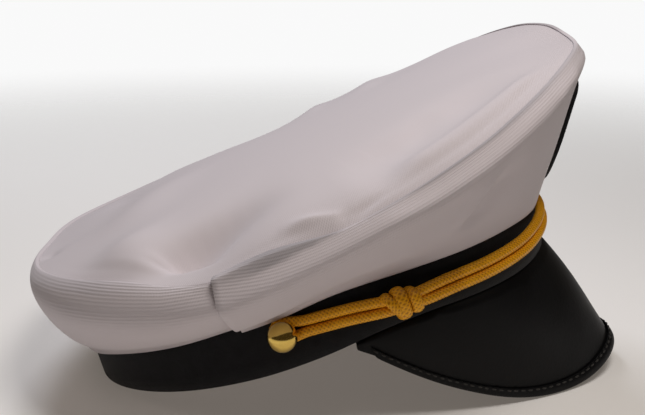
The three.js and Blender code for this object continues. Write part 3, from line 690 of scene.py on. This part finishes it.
# A panel's roll: how far down the seam draws it in, and its bulge's middle and half width.
DRAWN_DEPTH = 6
BULGE_MIDDLE = 7
BULGE_WIDTH = 5


def beyond(share, start):
    return smooth_share((share - start) / (1 - start))


def fold_top(bm):
    """Lays the folds into the top, draws its edge in over the roll and presses it down at the seam."""
    lines = fold_lines(TOP_FOLDS)
    up = row_direction(0, 0, 1)
    rims = seam_rims()
    for vert in bm.verts:
        u, v, _ = cap_place(vert.co)
        share = reach_of(u, v) / rim_at(rims, u, v)[0]
        angle = angle_round(u, v)
        lift = fold_height(lines, Vector((u, v))) * smooth_share((1 - share) * FOLD_FADE)
        lift -= seam_value("dip", angle) * beyond(share, DIP_START)
        out = (seam_value("closing", angle) + far_gap(angle)) * beyond(share, CLOSING_START)
        out -= seam_value("inward", angle) * beyond(share, INWARD_START)
        vert.co += up * (lift * MM) + crown_outward(u, v) * (out * MM)


def fold_panel(bm):
    """Lays the folds into a side panel and rounds the roll under the seam."""
    lines = fold_lines(PANEL_FOLDS)
    rims = seam_rims()
    for vert in bm.verts:
        u, v, w = cap_place(vert.co)
        angle = angle_round(u, v)
        below = rim_at(rims, u, v)[1] - w
        out = fold_height(lines, Vector((angle, w)))
        out -= seam_value("inward", angle) * smooth_share(1 - below / DRAWN_DEPTH)
        out += seam_value("bulge", angle) * exp(-(((below - BULGE_MIDDLE) / BULGE_WIDTH) ** 2))
        vert.co += crown_outward(u, v) * (out * MM)


# The top's ribs lean forward by this angle. The top is this many times as long as it looks from above, and
# its ribs stand this many times as close as the panels' ribs.
TOP_LEAN = radians(20)
SLOPE_LENGTH = 1.12
TOP_CLOSENESS = 1.5

# A panel's weave is laid out on a round of this radius. Ahead of the side seam its ribs start level, and
# fall behind the rim by this share of the way, less and less until they follow it.
WEAVE_RADIUS = 124
RIM_CLIMB = 0.287
CLIMB_LENGTH = 50

# The painted shade of the seam line spreads this far over the top.
SHADE_WIDTH = 2.2


def weave_top(bm):
    """The top's ribs run from side to side and lean a little forward. They are crispest near the seam, where
    the top also gets painted shade.
    """
    rims = seam_rims()
    crisp = bm.verts.layers.float.new("crisp")
    painted_seam_shade = bm.verts.layers.float.new("painted_seam_shade")
    for vert in bm.verts:
        u, v, _ = cap_place(vert.co)
        reach, rim = reach_of(u, v), rim_at(rims, u, v)[0]
        vert[crisp] = 0.1 + 0.75 * smooth_share((reach / rim - 0.78) / 0.18) * smooth_share((u + 50) / 40)
        turn = angle_round(u, v)
        drawn_in = seam_value("inward", turn) - seam_value("closing", turn)
        # Painted shade near the seam, as strong as the seam's dip.
        vert[painted_seam_shade] = seam_value("dip", turn) * smooth_share(1 - (rim - drawn_in - reach) / SHADE_WIDTH)
    layer = bm.loops.layers.uv.new("weave")
    for face in bm.faces:
        for loop in face.loops:
            side, ahead = loop.vert.co.x, -loop.vert.co.y * SLOPE_LENGTH
            along_rib = side * cos(TOP_LEAN) + ahead * sin(TOP_LEAN)
            across_ribs = ahead * cos(TOP_LEAN) - side * sin(TOP_LEAN)
            loop[layer].uv = (along_rib, across_ribs * TOP_CLOSENESS)


def weave_panel(bm):
    """A panel's ribs run round the cap, and are crisp on the roll, most of all at the sides. Just under the
    seam it gets painted shade.
    """
    rims = evened(evened(seam_rims()))
    crisp = bm.verts.layers.float.new("crisp")
    painted_seam_shade = bm.verts.layers.float.new("painted_seam_shade")
    for vert in bm.verts:
        u, v, w = cap_place(vert.co)
        below = rim_at(rims, u, v)[1] - w
        turn = abs(angle_round(u, v))
        side = smooth_share((turn - 18) / 26) * smooth_share((152 - turn) / 24)
        vert[crisp] = 0.12 + (0.18 + 0.7 * side) * smooth_share((18 - below) / 12)
        # Painted shade just under the seam, seven tenths as strong as the seam's dip.
        vert[painted_seam_shade] = 0.7 * seam_value("dip", turn) * smooth_share(1 - (below + 0.3) / 1.2)
    layer = bm.loops.layers.uv.new("weave")
    for face in bm.faces:
        behind = cap_place(face.calc_center_median())[0] < -60
        for loop in face.loops:
            u, v, w = cap_place(loop.vert.co)
            turn = angle_round(u, v)
            if behind and turn < 0:
                turn += 360
            reach, height = rim_at(rims, u, v)
            out, above = reach_of(u, v) - reach + ROLL_RADIUS, w - height + ROLL_DROP
            down = -ROLL_LENGTH * atan2(above, max(out, 0.01)) if above > 0 else -above
            ahead = min(CLIMB_LENGTH, max(0, u - SIDE_SEAM_U))
            down -= RIM_CLIMB * (ahead - ahead * ahead / (2 * CLIMB_LENGTH))
            loop[layer].uv = (radians(turn) * WEAVE_RADIUS * MM, down * MM)


class CAP_OT_crown(bpy.types.Operator):
    """Sews the crown's top and its two side panels in white twill"""

    bl_idname = "sailor_cap.crown"
    bl_label = "Crown cloth"

    def execute(self, context):
        look = context.scene.cap_cloth
        cloth = twill_cloth(look)
        for node, fold, weave, levels in (
            ("crown_top", fold_top, weave_top, look.levels + 1),
            ("front_side_panel", fold_panel, weave_panel, look.levels),
            ("rear_side_panel", fold_panel, weave_panel, look.levels),
        ):
            bm = subdivided(merged_node(node), levels)
            fold(bm)
            weave(bm)
            finished(bm, node + "_cloth", "white_twill", cloth, node)
        return {"FINISHED"}


class CAP_OT_band(bpy.types.Operator):
    """Covers the head band with black wool felt"""

    bl_idname = "sailor_cap.band"
    bl_label = "Head band"

    def execute(self, context):
        look = context.scene.cap_cloth
        felt = wool_felt("band felt", look.felt_colour)
        finished(subdivided(merged_node("band"), 1), "band_felt", "black_band", felt, "band")
        return {"FINISHED"}


class CAP_OT_badge(bpy.types.Operator):
    """Makes the plain badge patch of black felt"""

    bl_idname = "sailor_cap.badge"
    bl_label = "Badge patch"

    def execute(self, context):
        look = context.scene.cap_cloth
        felt = wool_felt("badge felt", look.felt_colour, 0.0001, 1100)
        bm = merged_node("badge", 60, 0.8)
        finished(subdivided(bm, 2), "badge_felt", "black_patch", felt, "badge")
        return {"FINISHED"}


# The peak


def peak_column(angle):
    """The peak's joint at the band and its free edge, at an angle from the front."""
    share = min(1, abs(angle) / PEAK_ANGLE)
    fall = (1 - share**PEAK_CORNER_POWER) ** 1.03
    reach = (1 - share**2) ** 0.9
    joint = band_point(angle, -0.6)
    low = along(BAND_LOWER_EDGE, "angle", "height", abs(angle)) - SEWING_GAP
    drop = PEAK_LEAST_DROP + PEAK_DROP * fall * (1 - PEAK_LIFT_IN_FRONT * cos(radians(1.8 * angle)))
    edge = Vector((joint.x + PEAK_REACH * reach, joint.y * (1 - PEAK_NARROWING * fall), low - drop))
    return Vector((joint.x, joint.y, low)), edge


def node_tree(*nodes):
    """The nodes' surfaces, for finding where a ray meets them."""
    points, faces = [], []
    for node in nodes:
        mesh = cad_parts[node].data
        first = len(points)
        points += [vert.co for vert in mesh.vertices]
        faces += [[first + index for index in face.vertices] for face in mesh.polygons]
    return BVHTree.FromPolygons(points, faces)


# The row of stitches: its way in from the edge, the angle of its ends, and the size of the thread.
STITCH_INSET = 5.0
STITCH_ROW_END = 79.5
THREAD_HALF_WIDTH = 0.00042
THREAD_HALF_HEIGHT = 0.0004
THREAD_SINK = 0.0003


def stitch_places(spacing):
    """Points along the bound edge, one for each stitch, with the way along and out."""
    surface = node_tree("peak_binding")
    path = []
    angle = -STITCH_ROW_END
    while angle <= STITCH_ROW_END:
        joint, edge = peak_column(angle)
        up = (joint - edge).normalized()
        path.append((angle, edge + up * STITCH_INSET))
        angle += 0.25
    places = []
    gone = spacing / 2 / MM
    for (angle, place), (_, after) in zip(path, path[1:]):
        step = after - place
        gone += step.length
        if gone < spacing / MM:
            continue
        gone -= spacing / MM
        joint, edge = peak_column(angle)
        out = step.cross(joint - edge)
        if out.x < 0:
            out.negate()
        out = row_direction(*out).normalized()
        start = row_point(*place) + out * 0.02
        found = surface.ray_cast(start, -out, 0.05)
        if found[0] is not None:
            places.append((found[0], row_direction(*step).normalized(), found[1]))
    return places


def edge_lengths():
    """The way along the peak's free edge, for each half degree."""
    table, gone = [], 0.0
    before = peak_column(-PEAK_ANGLE)[1]
    for i in range(4 * PEAK_ANGLE + 1):
        edge = peak_column(-PEAK_ANGLE + i / 2)[1]
        gone += (edge - before).length
        before = edge
        table.append({"angle": -PEAK_ANGLE + i / 2, "gone": gone, "edge": edge})
    return table


def pucker_binding(bm, spacing):
    """Presses the binding's border on the leather and draws it in at each stitch."""
    table = edge_lengths()
    bm.normal_update()
    moves = []
    for vert in bm.verts:
        place = Vector(cap_place(vert.co))
        near = min(table, key=lambda row: (row["edge"] - place).length_squared)
        inset = (near["edge"] - place).length
        border = smooth_share((inset - 3.6) / 2.6)
        corner = smooth_share((abs(near["angle"]) - 58) / 12)
        drawn = 0.5 + 0.5 * cos(2 * pi * near["gone"] * MM / spacing)
        row = exp(-(((inset - STITCH_INSET) / 1.6) ** 2))
        moves.append(-0.55 * border - (0.12 + 0.3 * corner) * drawn * row)
    for vert, move in zip(bm.verts, moves):
        vert.co += vert.normal * (move * MM)


class CAP_OT_peak(bpy.types.Operator):
    """Shapes the leather peak and its bound, stitched edge"""

    bl_idname = "sailor_cap.peak"
    bl_label = "Peak"

    def execute(self, context):
        look = context.scene.cap_peak
        leather = black_leather("peak leather", look.leather_colour, look.gloss, 0.00003)
        binding = black_leather("binding leather", look.leather_colour, look.gloss + 0.06, 0.00006)
        finished(subdivided(merged_node("peak"), 1), "peak_leather", "black_leather", leather, "peak")
        bm = subdivided(merged_node("peak_binding"), 3)
        pucker_binding(bm, look.stitch_spacing)
        finished(bm, "peak_bound_edge", "black_binding", binding, "peak_binding")
        thread = waxed_thread(look.thread_colour)
        bm = bmesh.new()
        for spot, ahead, out in stitch_places(look.stitch_spacing):
            side = ahead.cross(out).normalized()
            turn = Matrix((ahead, side, out)).transposed().to_4x4()
            size = Matrix.Diagonal((look.stitch_length / 2, THREAD_HALF_WIDTH, THREAD_HALF_HEIGHT, 1))
            place = Matrix.Translation(spot - out * THREAD_SINK) @ turn @ size
            bmesh.ops.create_uvsphere(bm, u_segments=8, v_segments=6, radius=1, matrix=place)
        finished(bm, "peak_stitches", "black_binding", thread)
        return {"FINISHED"}


# The chin strap


def evenly(points, step):
    """Points of a closed line, moved so that they stand the same distance apart."""
    closed = points + points[:1]
    lengths = [0.0]
    for a, b in zip(closed, closed[1:]):
        lengths.append(lengths[-1] + (b - a).length)
    count = ceil(lengths[-1] / step)
    out, k = [], 0
    for i in range(count):
        at = lengths[-1] * i / count
        while lengths[k + 1] < at:
            k += 1
        share = (at - lengths[k]) / (lengths[k + 1] - lengths[k])
        out.append(closed[k].lerp(closed[k + 1], share))
    return out, lengths[-1]


# How far a yarn stands over the one that it crosses, the braid's size between the yarns as a share of the
# strand's, and how much a yarn adds to it.
YARN_OVER = 0.3
BETWEEN_YARNS = 0.8
YARN_RELIEF = 0.24

# The length of a braid's faces and how many go round it, for the strands and for a knot's wraps.
STRAND_NET = {"step": 0.00036, "sides": 26}
WRAP_NET = {"step": 0.0003, "sides": 24}


def braided_loop(bm, points, across_of, wide, thick, look, net):
    """A closed braid round a closed line. across_of gives the way that its width lies."""
    points, length = evenly(points, net["step"])
    rings, sides = len(points), net["sides"]
    turns = max(1, round(length / look.braid_pitch))
    relief_layer = bm.verts.layers.float.get("relief") or bm.verts.layers.float.new("relief")
    made = bmesh.ops.create_grid(bm, x_segments=rings, y_segments=sides, size=1)["verts"]
    frames = []
    for i, point in enumerate(points):
        ahead = (points[(i + 1) % rings] - points[i - 1]).normalized()
        across = across_of(point, ahead)
        across = (across - ahead * across.dot(ahead)).normalized()
        frames.append((point, across, ahead.cross(across)))
    for vert in made:
        s = (vert.co.x + 1) / 2
        t = (vert.co.y + 1) / 2
        point, across, through = frames[round(s * rings) % rings]
        round_share = round(t * sides) % sides / sides
        one_way = look.yarns * (round_share + turns * s)
        other_way = look.yarns * (round_share - turns * s)
        over = YARN_OVER * cos(pi * (one_way + other_way))
        first = 0.5 + 0.5 * cos(2 * pi * one_way) + over
        second = 0.5 + 0.5 * cos(2 * pi * other_way) - over
        height = max(first, second) / (1 + YARN_OVER)
        vert[relief_layer] = height
        grow = BETWEEN_YARNS + YARN_RELIEF * height
        angle = 2 * pi * round_share
        vert.co = point + across * (cos(angle) * wide * grow) + through * (sin(angle) * thick * grow)
    bmesh.ops.remove_doubles(bm, verts=made, dist=1e-7)
    bmesh.ops.recalc_face_normals(bm, faces=bm.faces)


ROUTE_STEP = 0.4


def cord_route():
    """The whole loop of the chin cord: along the upper strand, round a button, and back."""
    turn = [i * 6 for i in range(1, 30)]
    count = round(2 * BUTTON_ANGLE / ROUTE_STEP)
    angles = [-BUTTON_ANGLE + 2 * BUTTON_ANGLE * i / count for i in range(count + 1)]
    route = [on_strap(a, strand_spread(a), strand_lift(a)) for a in angles]
    for degrees_round in turn:
        ahead = LOOP_HALF_SPACING * sin(radians(degrees_round))
        above = LOOP_HALF_SPACING * cos(radians(degrees_round))
        route.append(on_strap(BUTTON_ANGLE + angle_of(ahead, BUTTON_ANGLE), above, BUTTON_LOOP_STAND_OFF))
    route += [on_strap(a, -strand_spread(a), strand_lift(a)) for a in reversed(angles)]
    for degrees_round in turn:
        ahead = LOOP_HALF_SPACING * sin(radians(degrees_round))
        above = -LOOP_HALF_SPACING * cos(radians(degrees_round))
        route.append(on_strap(-BUTTON_ANGLE - angle_of(ahead, BUTTON_ANGLE), above, BUTTON_LOOP_STAND_OFF))
    return route


def away_from_cap(point, ahead):
    """Out from the cap's middle, level with its rim."""
    u, v, _ = cap_place(point)
    return row_direction(u / BAND_LENGTH**2, v / BAND_WIDTH**2, 0).normalized()


class CAP_OT_chin_cord(bpy.types.Operator):
    """Braids the golden chin cord in one loop round both buttons"""

    bl_idname = "sailor_cap.chin_cord"
    bl_label = "Chin cord"

    def execute(self, context):
        look = context.scene.cap_strap
        bm = bmesh.new()
        radius = look.strand_diameter / 2
        braided_loop(bm, cord_route(), away_from_cap, radius, radius, look, STRAND_NET)
        finished(bm, "chin_cord_braid", "golden_cord", golden_braid(look), "chin_cord")
        return {"FINISHED"}


# The wraps of a slide knot from the button's side forward, in millimetres and degrees.
KNOT_WRAPS = (
    {"shift": 4.8, "clear": 1.9, "slant": 30, "wide": 2.1},
    {"shift": 2.2, "clear": 3.3, "slant": 2, "wide": 2.6},
    {"shift": -2.4, "clear": 2.0, "slant": 5, "wide": 2.3},
)
WRAP_POINTS = 72


def knot_turn(side, wrap):
    """One wrap of a slide knot round both strands."""
    route = []
    half = STRAND_HALF_SPACING - KNOT_PINCH
    for i in range(WRAP_POINTS):
        c, s = cos(2 * pi * i / WRAP_POINTS), sin(2 * pi * i / WRAP_POINTS)
        above = copysign(half * min(1, 2 * abs(c)), c) + wrap["clear"] * c
        shift = wrap["shift"] + tan(radians(wrap["slant"])) * above
        angle = side * (KNOT_ANGLE + angle_of(shift, KNOT_ANGLE))
        route.append(on_strap(angle, above, strand_lift(KNOT_ANGLE) + WRAP_REACH * s))
    return route


class CAP_OT_knots(bpy.types.Operator):
    """Wraps the two slide knots round the strands"""

    bl_idname = "sailor_cap.knots"
    bl_label = "Slide knots"

    def execute(self, context):
        look = context.scene.cap_strap
        braid = golden_braid(look)
        for side, node in ((1, "slide_knot_right"), (-1, "slide_knot_left")):
            bm = bmesh.new()
            along_band = band_point(side * (KNOT_ANGLE + 1)) - band_point(side * (KNOT_ANGLE - 1))
            strand_way = row_direction(*along_band, 0).normalized()
            for wrap in KNOT_WRAPS:
                route = knot_turn(side, wrap)
                wide, thick = wrap["wide"] * MM, KNOT_CORD / 2 * MM
                braided_loop(bm, route, lambda p, a: strand_way, wide, thick, look, WRAP_NET)
            finished(bm, node + "_wraps", "golden_cord", braid, node)
        return {"FINISHED"}


# The turned profile of a button's plate and shank, from the middle of the plate outward, in millimetres
# over the band's face.
SHANK_PROFILE = (
    {"radius": 0, "height": -4.15},
    {"radius": 2.6, "height": -4.15},
    {"radius": 3.0, "height": -3.75},
    {"radius": 3.0, "height": -3.35},
    {"radius": 2.6, "height": -2.95},
    {"radius": 1.1, "height": -2.95},
)

# A ball's middle stands off the band by this length and share of its radius.
BALL_STAND_OFF = 4.85
BALL_SHARE = 0.6
BALL_STEPS = 18


class CAP_OT_buttons(bpy.types.Operator):
    """Turns the two brass ball buttons with their shanks and inner plates"""

    bl_idname = "sailor_cap.buttons"
    bl_label = "Brass buttons"

    def execute(self, context):
        look = context.scene.cap_strap
        brass = polished_brass(look)
        radius = look.button_diameter / 2
        for side, node in ((1, "button_right"), (-1, "button_left")):
            axis = strap_outward(side * BUTTON_ANGLE)
            foot = on_strap(side * BUTTON_ANGLE, 0, 0)
            middle = BALL_STAND_OFF * MM + radius * BALL_SHARE
            bm = bmesh.new()
            places = [Vector((row["radius"] * MM, 0, row["height"] * MM)) for row in SHANK_PROFILE]
            start = pi - asin(SHANK_PROFILE[-1]["radius"] * MM / radius)
            for i in range(BALL_STEPS + 1):
                bend = start * (1 - i / BALL_STEPS)
                places.append(Vector((radius * sin(bend), 0, middle + radius * cos(bend))))
            places[-1].x = 0
            verts = [bm.verts.new(p) for p in places]
            edges = [bm.edges.new(pair) for pair in zip(verts, verts[1:])]
            bmesh.ops.spin(
                bm, geom=verts + edges, axis=(0, 0, 1), cent=(0, 0, 0), steps=48, angle=2 * pi, use_merge=True
            )
            bmesh.ops.remove_doubles(bm, verts=bm.verts, dist=1e-6)
            bmesh.ops.recalc_face_normals(bm, faces=bm.faces)
            turn = axis.to_track_quat("Z", "Y").to_matrix().to_4x4()
            bmesh.ops.transform(bm, matrix=Matrix.Translation(foot) @ turn, verts=bm.verts)
            finished(bm, node + "_ball", "brass", brass, node)
        return {"FINISHED"}


# The studio

# The lights' places and sizes in metres, and their shares of the key light's power.
LIGHTS = (
    {"name": "overhead", "place": (-0.27, -0.13, 0.61), "size": 0.24,
     "share": 0.42, "colour": (1.0, 0.95, 0.9)},
    {"name": "far_side", "place": (0.5, 0.2, 0.7), "size": 0.3,
     "share": 0.66, "colour": (0.9, 0.93, 1.0)},
)
LIGHT_AIM = (0, 0, 0.05)
WARM_WHITE = (1, 0.89, 0.78, 1)
ROOM_COLOUR = (1.0, 0.8, 0.6, 1)
BACKDROP_WHITE = 0.95

# Half the floor's width, and the distances from the cap between which it fades out, in metres.
FLOOR_HALF_WIDTH = 1.3
FADE_START = 0.25
FADE_END = 1.1

# The camera's distance and aim in metres, the photograph's focal length and width in pixels, and the
# sensor's width in millimetres.
CAMERA_DISTANCE = 0.5
CAMERA_AIM = (0, 0.003447, 0.067807)
PHOTO_FOCAL_LENGTH = 1150
PHOTO_WIDTH = 645
SENSOR_WIDTH = 36


class CAP_OT_stage(bpy.types.Operator):
    """Lays the pale floor and sets the soft lights and the camera"""

    bl_idname = "sailor_cap.stage"
    bl_label = "Studio"

    def execute(self, context):
        look = context.scene.cap_studio
        material, tree, skin = new_tree("pale floor")
        spot = put(tree, "TexCoord").outputs["Object"]
        cloud = grown(tree, spot, 3, 2.0)
        pale = blend(tree, cloud, four(look.floor_colour, 0.98), four(look.floor_colour, 1.02))
        tree.links.new(pale, skin.inputs["Base Color"])
        shade(skin, Roughness=0.9, Specular_IOR_Level=0.1)
        shade(skin, Emission_Color=WARM_WHITE, Emission_Strength=look.floor_glow)
        away = put(tree, "VectorMath", {"operation": "LENGTH"}, i0=spot).outputs["Value"]
        smoothly = {"interpolation_type": "SMOOTHSTEP"}
        fade = put(tree, "MapRange", smoothly, i0=away, i1=FADE_START, i2=FADE_END, i3=1, i4=0)
        tree.links.new(fade.outputs[0], skin.inputs["Alpha"])
        bm = bmesh.new()
        bmesh.ops.create_grid(bm, x_segments=2, y_segments=2, size=FLOOR_HALF_WIDTH)
        mesh = bpy.data.meshes.new("floor")
        bm.to_mesh(mesh)
        bm.free()
        floor_piece = bpy.data.objects.new("floor", mesh)
        mesh.materials.append(material)
        context.scene.collection.objects.link(floor_piece)

        world = bpy.data.worlds.new("studio")
        context.scene.world = world
        world.use_nodes = True
        tree = world.node_tree
        around = tree.nodes["Background"]
        around.inputs[0].default_value = ROOM_COLOUR
        around.inputs[1].default_value = look.ambient
        backdrop = put(tree, "Background", i0=(1.0, 1.0, 1.0, 1), i1=BACKDROP_WHITE)
        seen = put(tree, "LightPath").outputs[0]
        mixed = put(tree, "MixShader", i0=seen, i1=around.outputs[0], i2=backdrop.outputs[0])
        tree.links.new(mixed.outputs[0], tree.nodes["World Output"].inputs[0])

        for light in LIGHTS:
            lamp = bpy.data.lights.new(light["name"], "AREA")
            lamp.shape = "SQUARE"
            lamp.size = light["size"]
            lamp.energy = look.key_power * light["share"]
            lamp.color = light["colour"]
            holder = bpy.data.objects.new(light["name"], lamp)
            context.scene.collection.objects.link(holder)
            holder.location = light["place"]
            aimed = Vector(LIGHT_AIM) - Vector(light["place"])
            holder.rotation_euler = aimed.to_track_quat("-Z", "Y").to_euler()

        back = Vector((-cos(look.camera_height), 0, sin(look.camera_height)))
        lens = bpy.data.cameras.new("view")
        lens.sensor_width = SENSOR_WIDTH
        lens.lens = PHOTO_FOCAL_LENGTH / PHOTO_WIDTH * SENSOR_WIDTH
        lens.clip_start = 0.01
        camera = bpy.data.objects.new("view", lens)
        context.scene.collection.objects.link(camera)
        camera.location = Vector(CAMERA_AIM) + back * CAMERA_DISTANCE
        camera.rotation_euler = (-back).to_track_quat("-Z", "Y").to_euler()
        context.scene.camera = camera
        context.scene.view_settings.view_transform = "Standard"
        return {"FINISHED"}


class CAP_PT_panel(bpy.types.Panel):
    """Lists the pieces of the sailor cap"""

    bl_label = "Sailor cap"
    bl_idname = "CAP_PT_panel"
    bl_space_type = "VIEW_3D"
    bl_region_type = "UI"
    bl_category = "Sailor cap"

    def draw(self, context):
        for group in ("cap_cloth", "cap_strap", "cap_peak", "cap_studio"):
            settings = getattr(context.scene, group)
            box = self.layout.box()
            for key in settings.__annotations__:
                box.prop(settings, key)
        for operator in OPERATORS:
            self.layout.operator(operator.bl_idname)


SETTINGS = (
    ("cap_cloth", ClothSettings),
    ("cap_strap", StrapSettings),
    ("cap_peak", PeakSettings),
    ("cap_studio", StudioSettings),
)
OPERATORS = (
    CAP_OT_stage,
    CAP_OT_crown,
    CAP_OT_band,
    CAP_OT_badge,
    CAP_OT_peak,
    CAP_OT_chin_cord,
    CAP_OT_knots,
    CAP_OT_buttons,
)


def register():
    for group, kind in SETTINGS:
        bpy.utils.register_class(kind)
        setattr(bpy.types.Scene, group, PointerProperty(type=kind))
    for kind in (*OPERATORS, CAP_PT_panel):
        bpy.utils.register_class(kind)


def unregister():
    for kind in (CAP_PT_panel, *reversed(OPERATORS)):
        bpy.utils.unregister_class(kind)
    for group, kind in reversed(SETTINGS):
        delattr(bpy.types.Scene, group)
        bpy.utils.unregister_class(kind)


def main():
    register()
    for name in ("stage", "crown", "band", "badge", "peak", "chin_cord", "knots", "buttons"):
        getattr(bpy.ops.sailor_cap, name)()


if __name__ == "__main__":
    main()
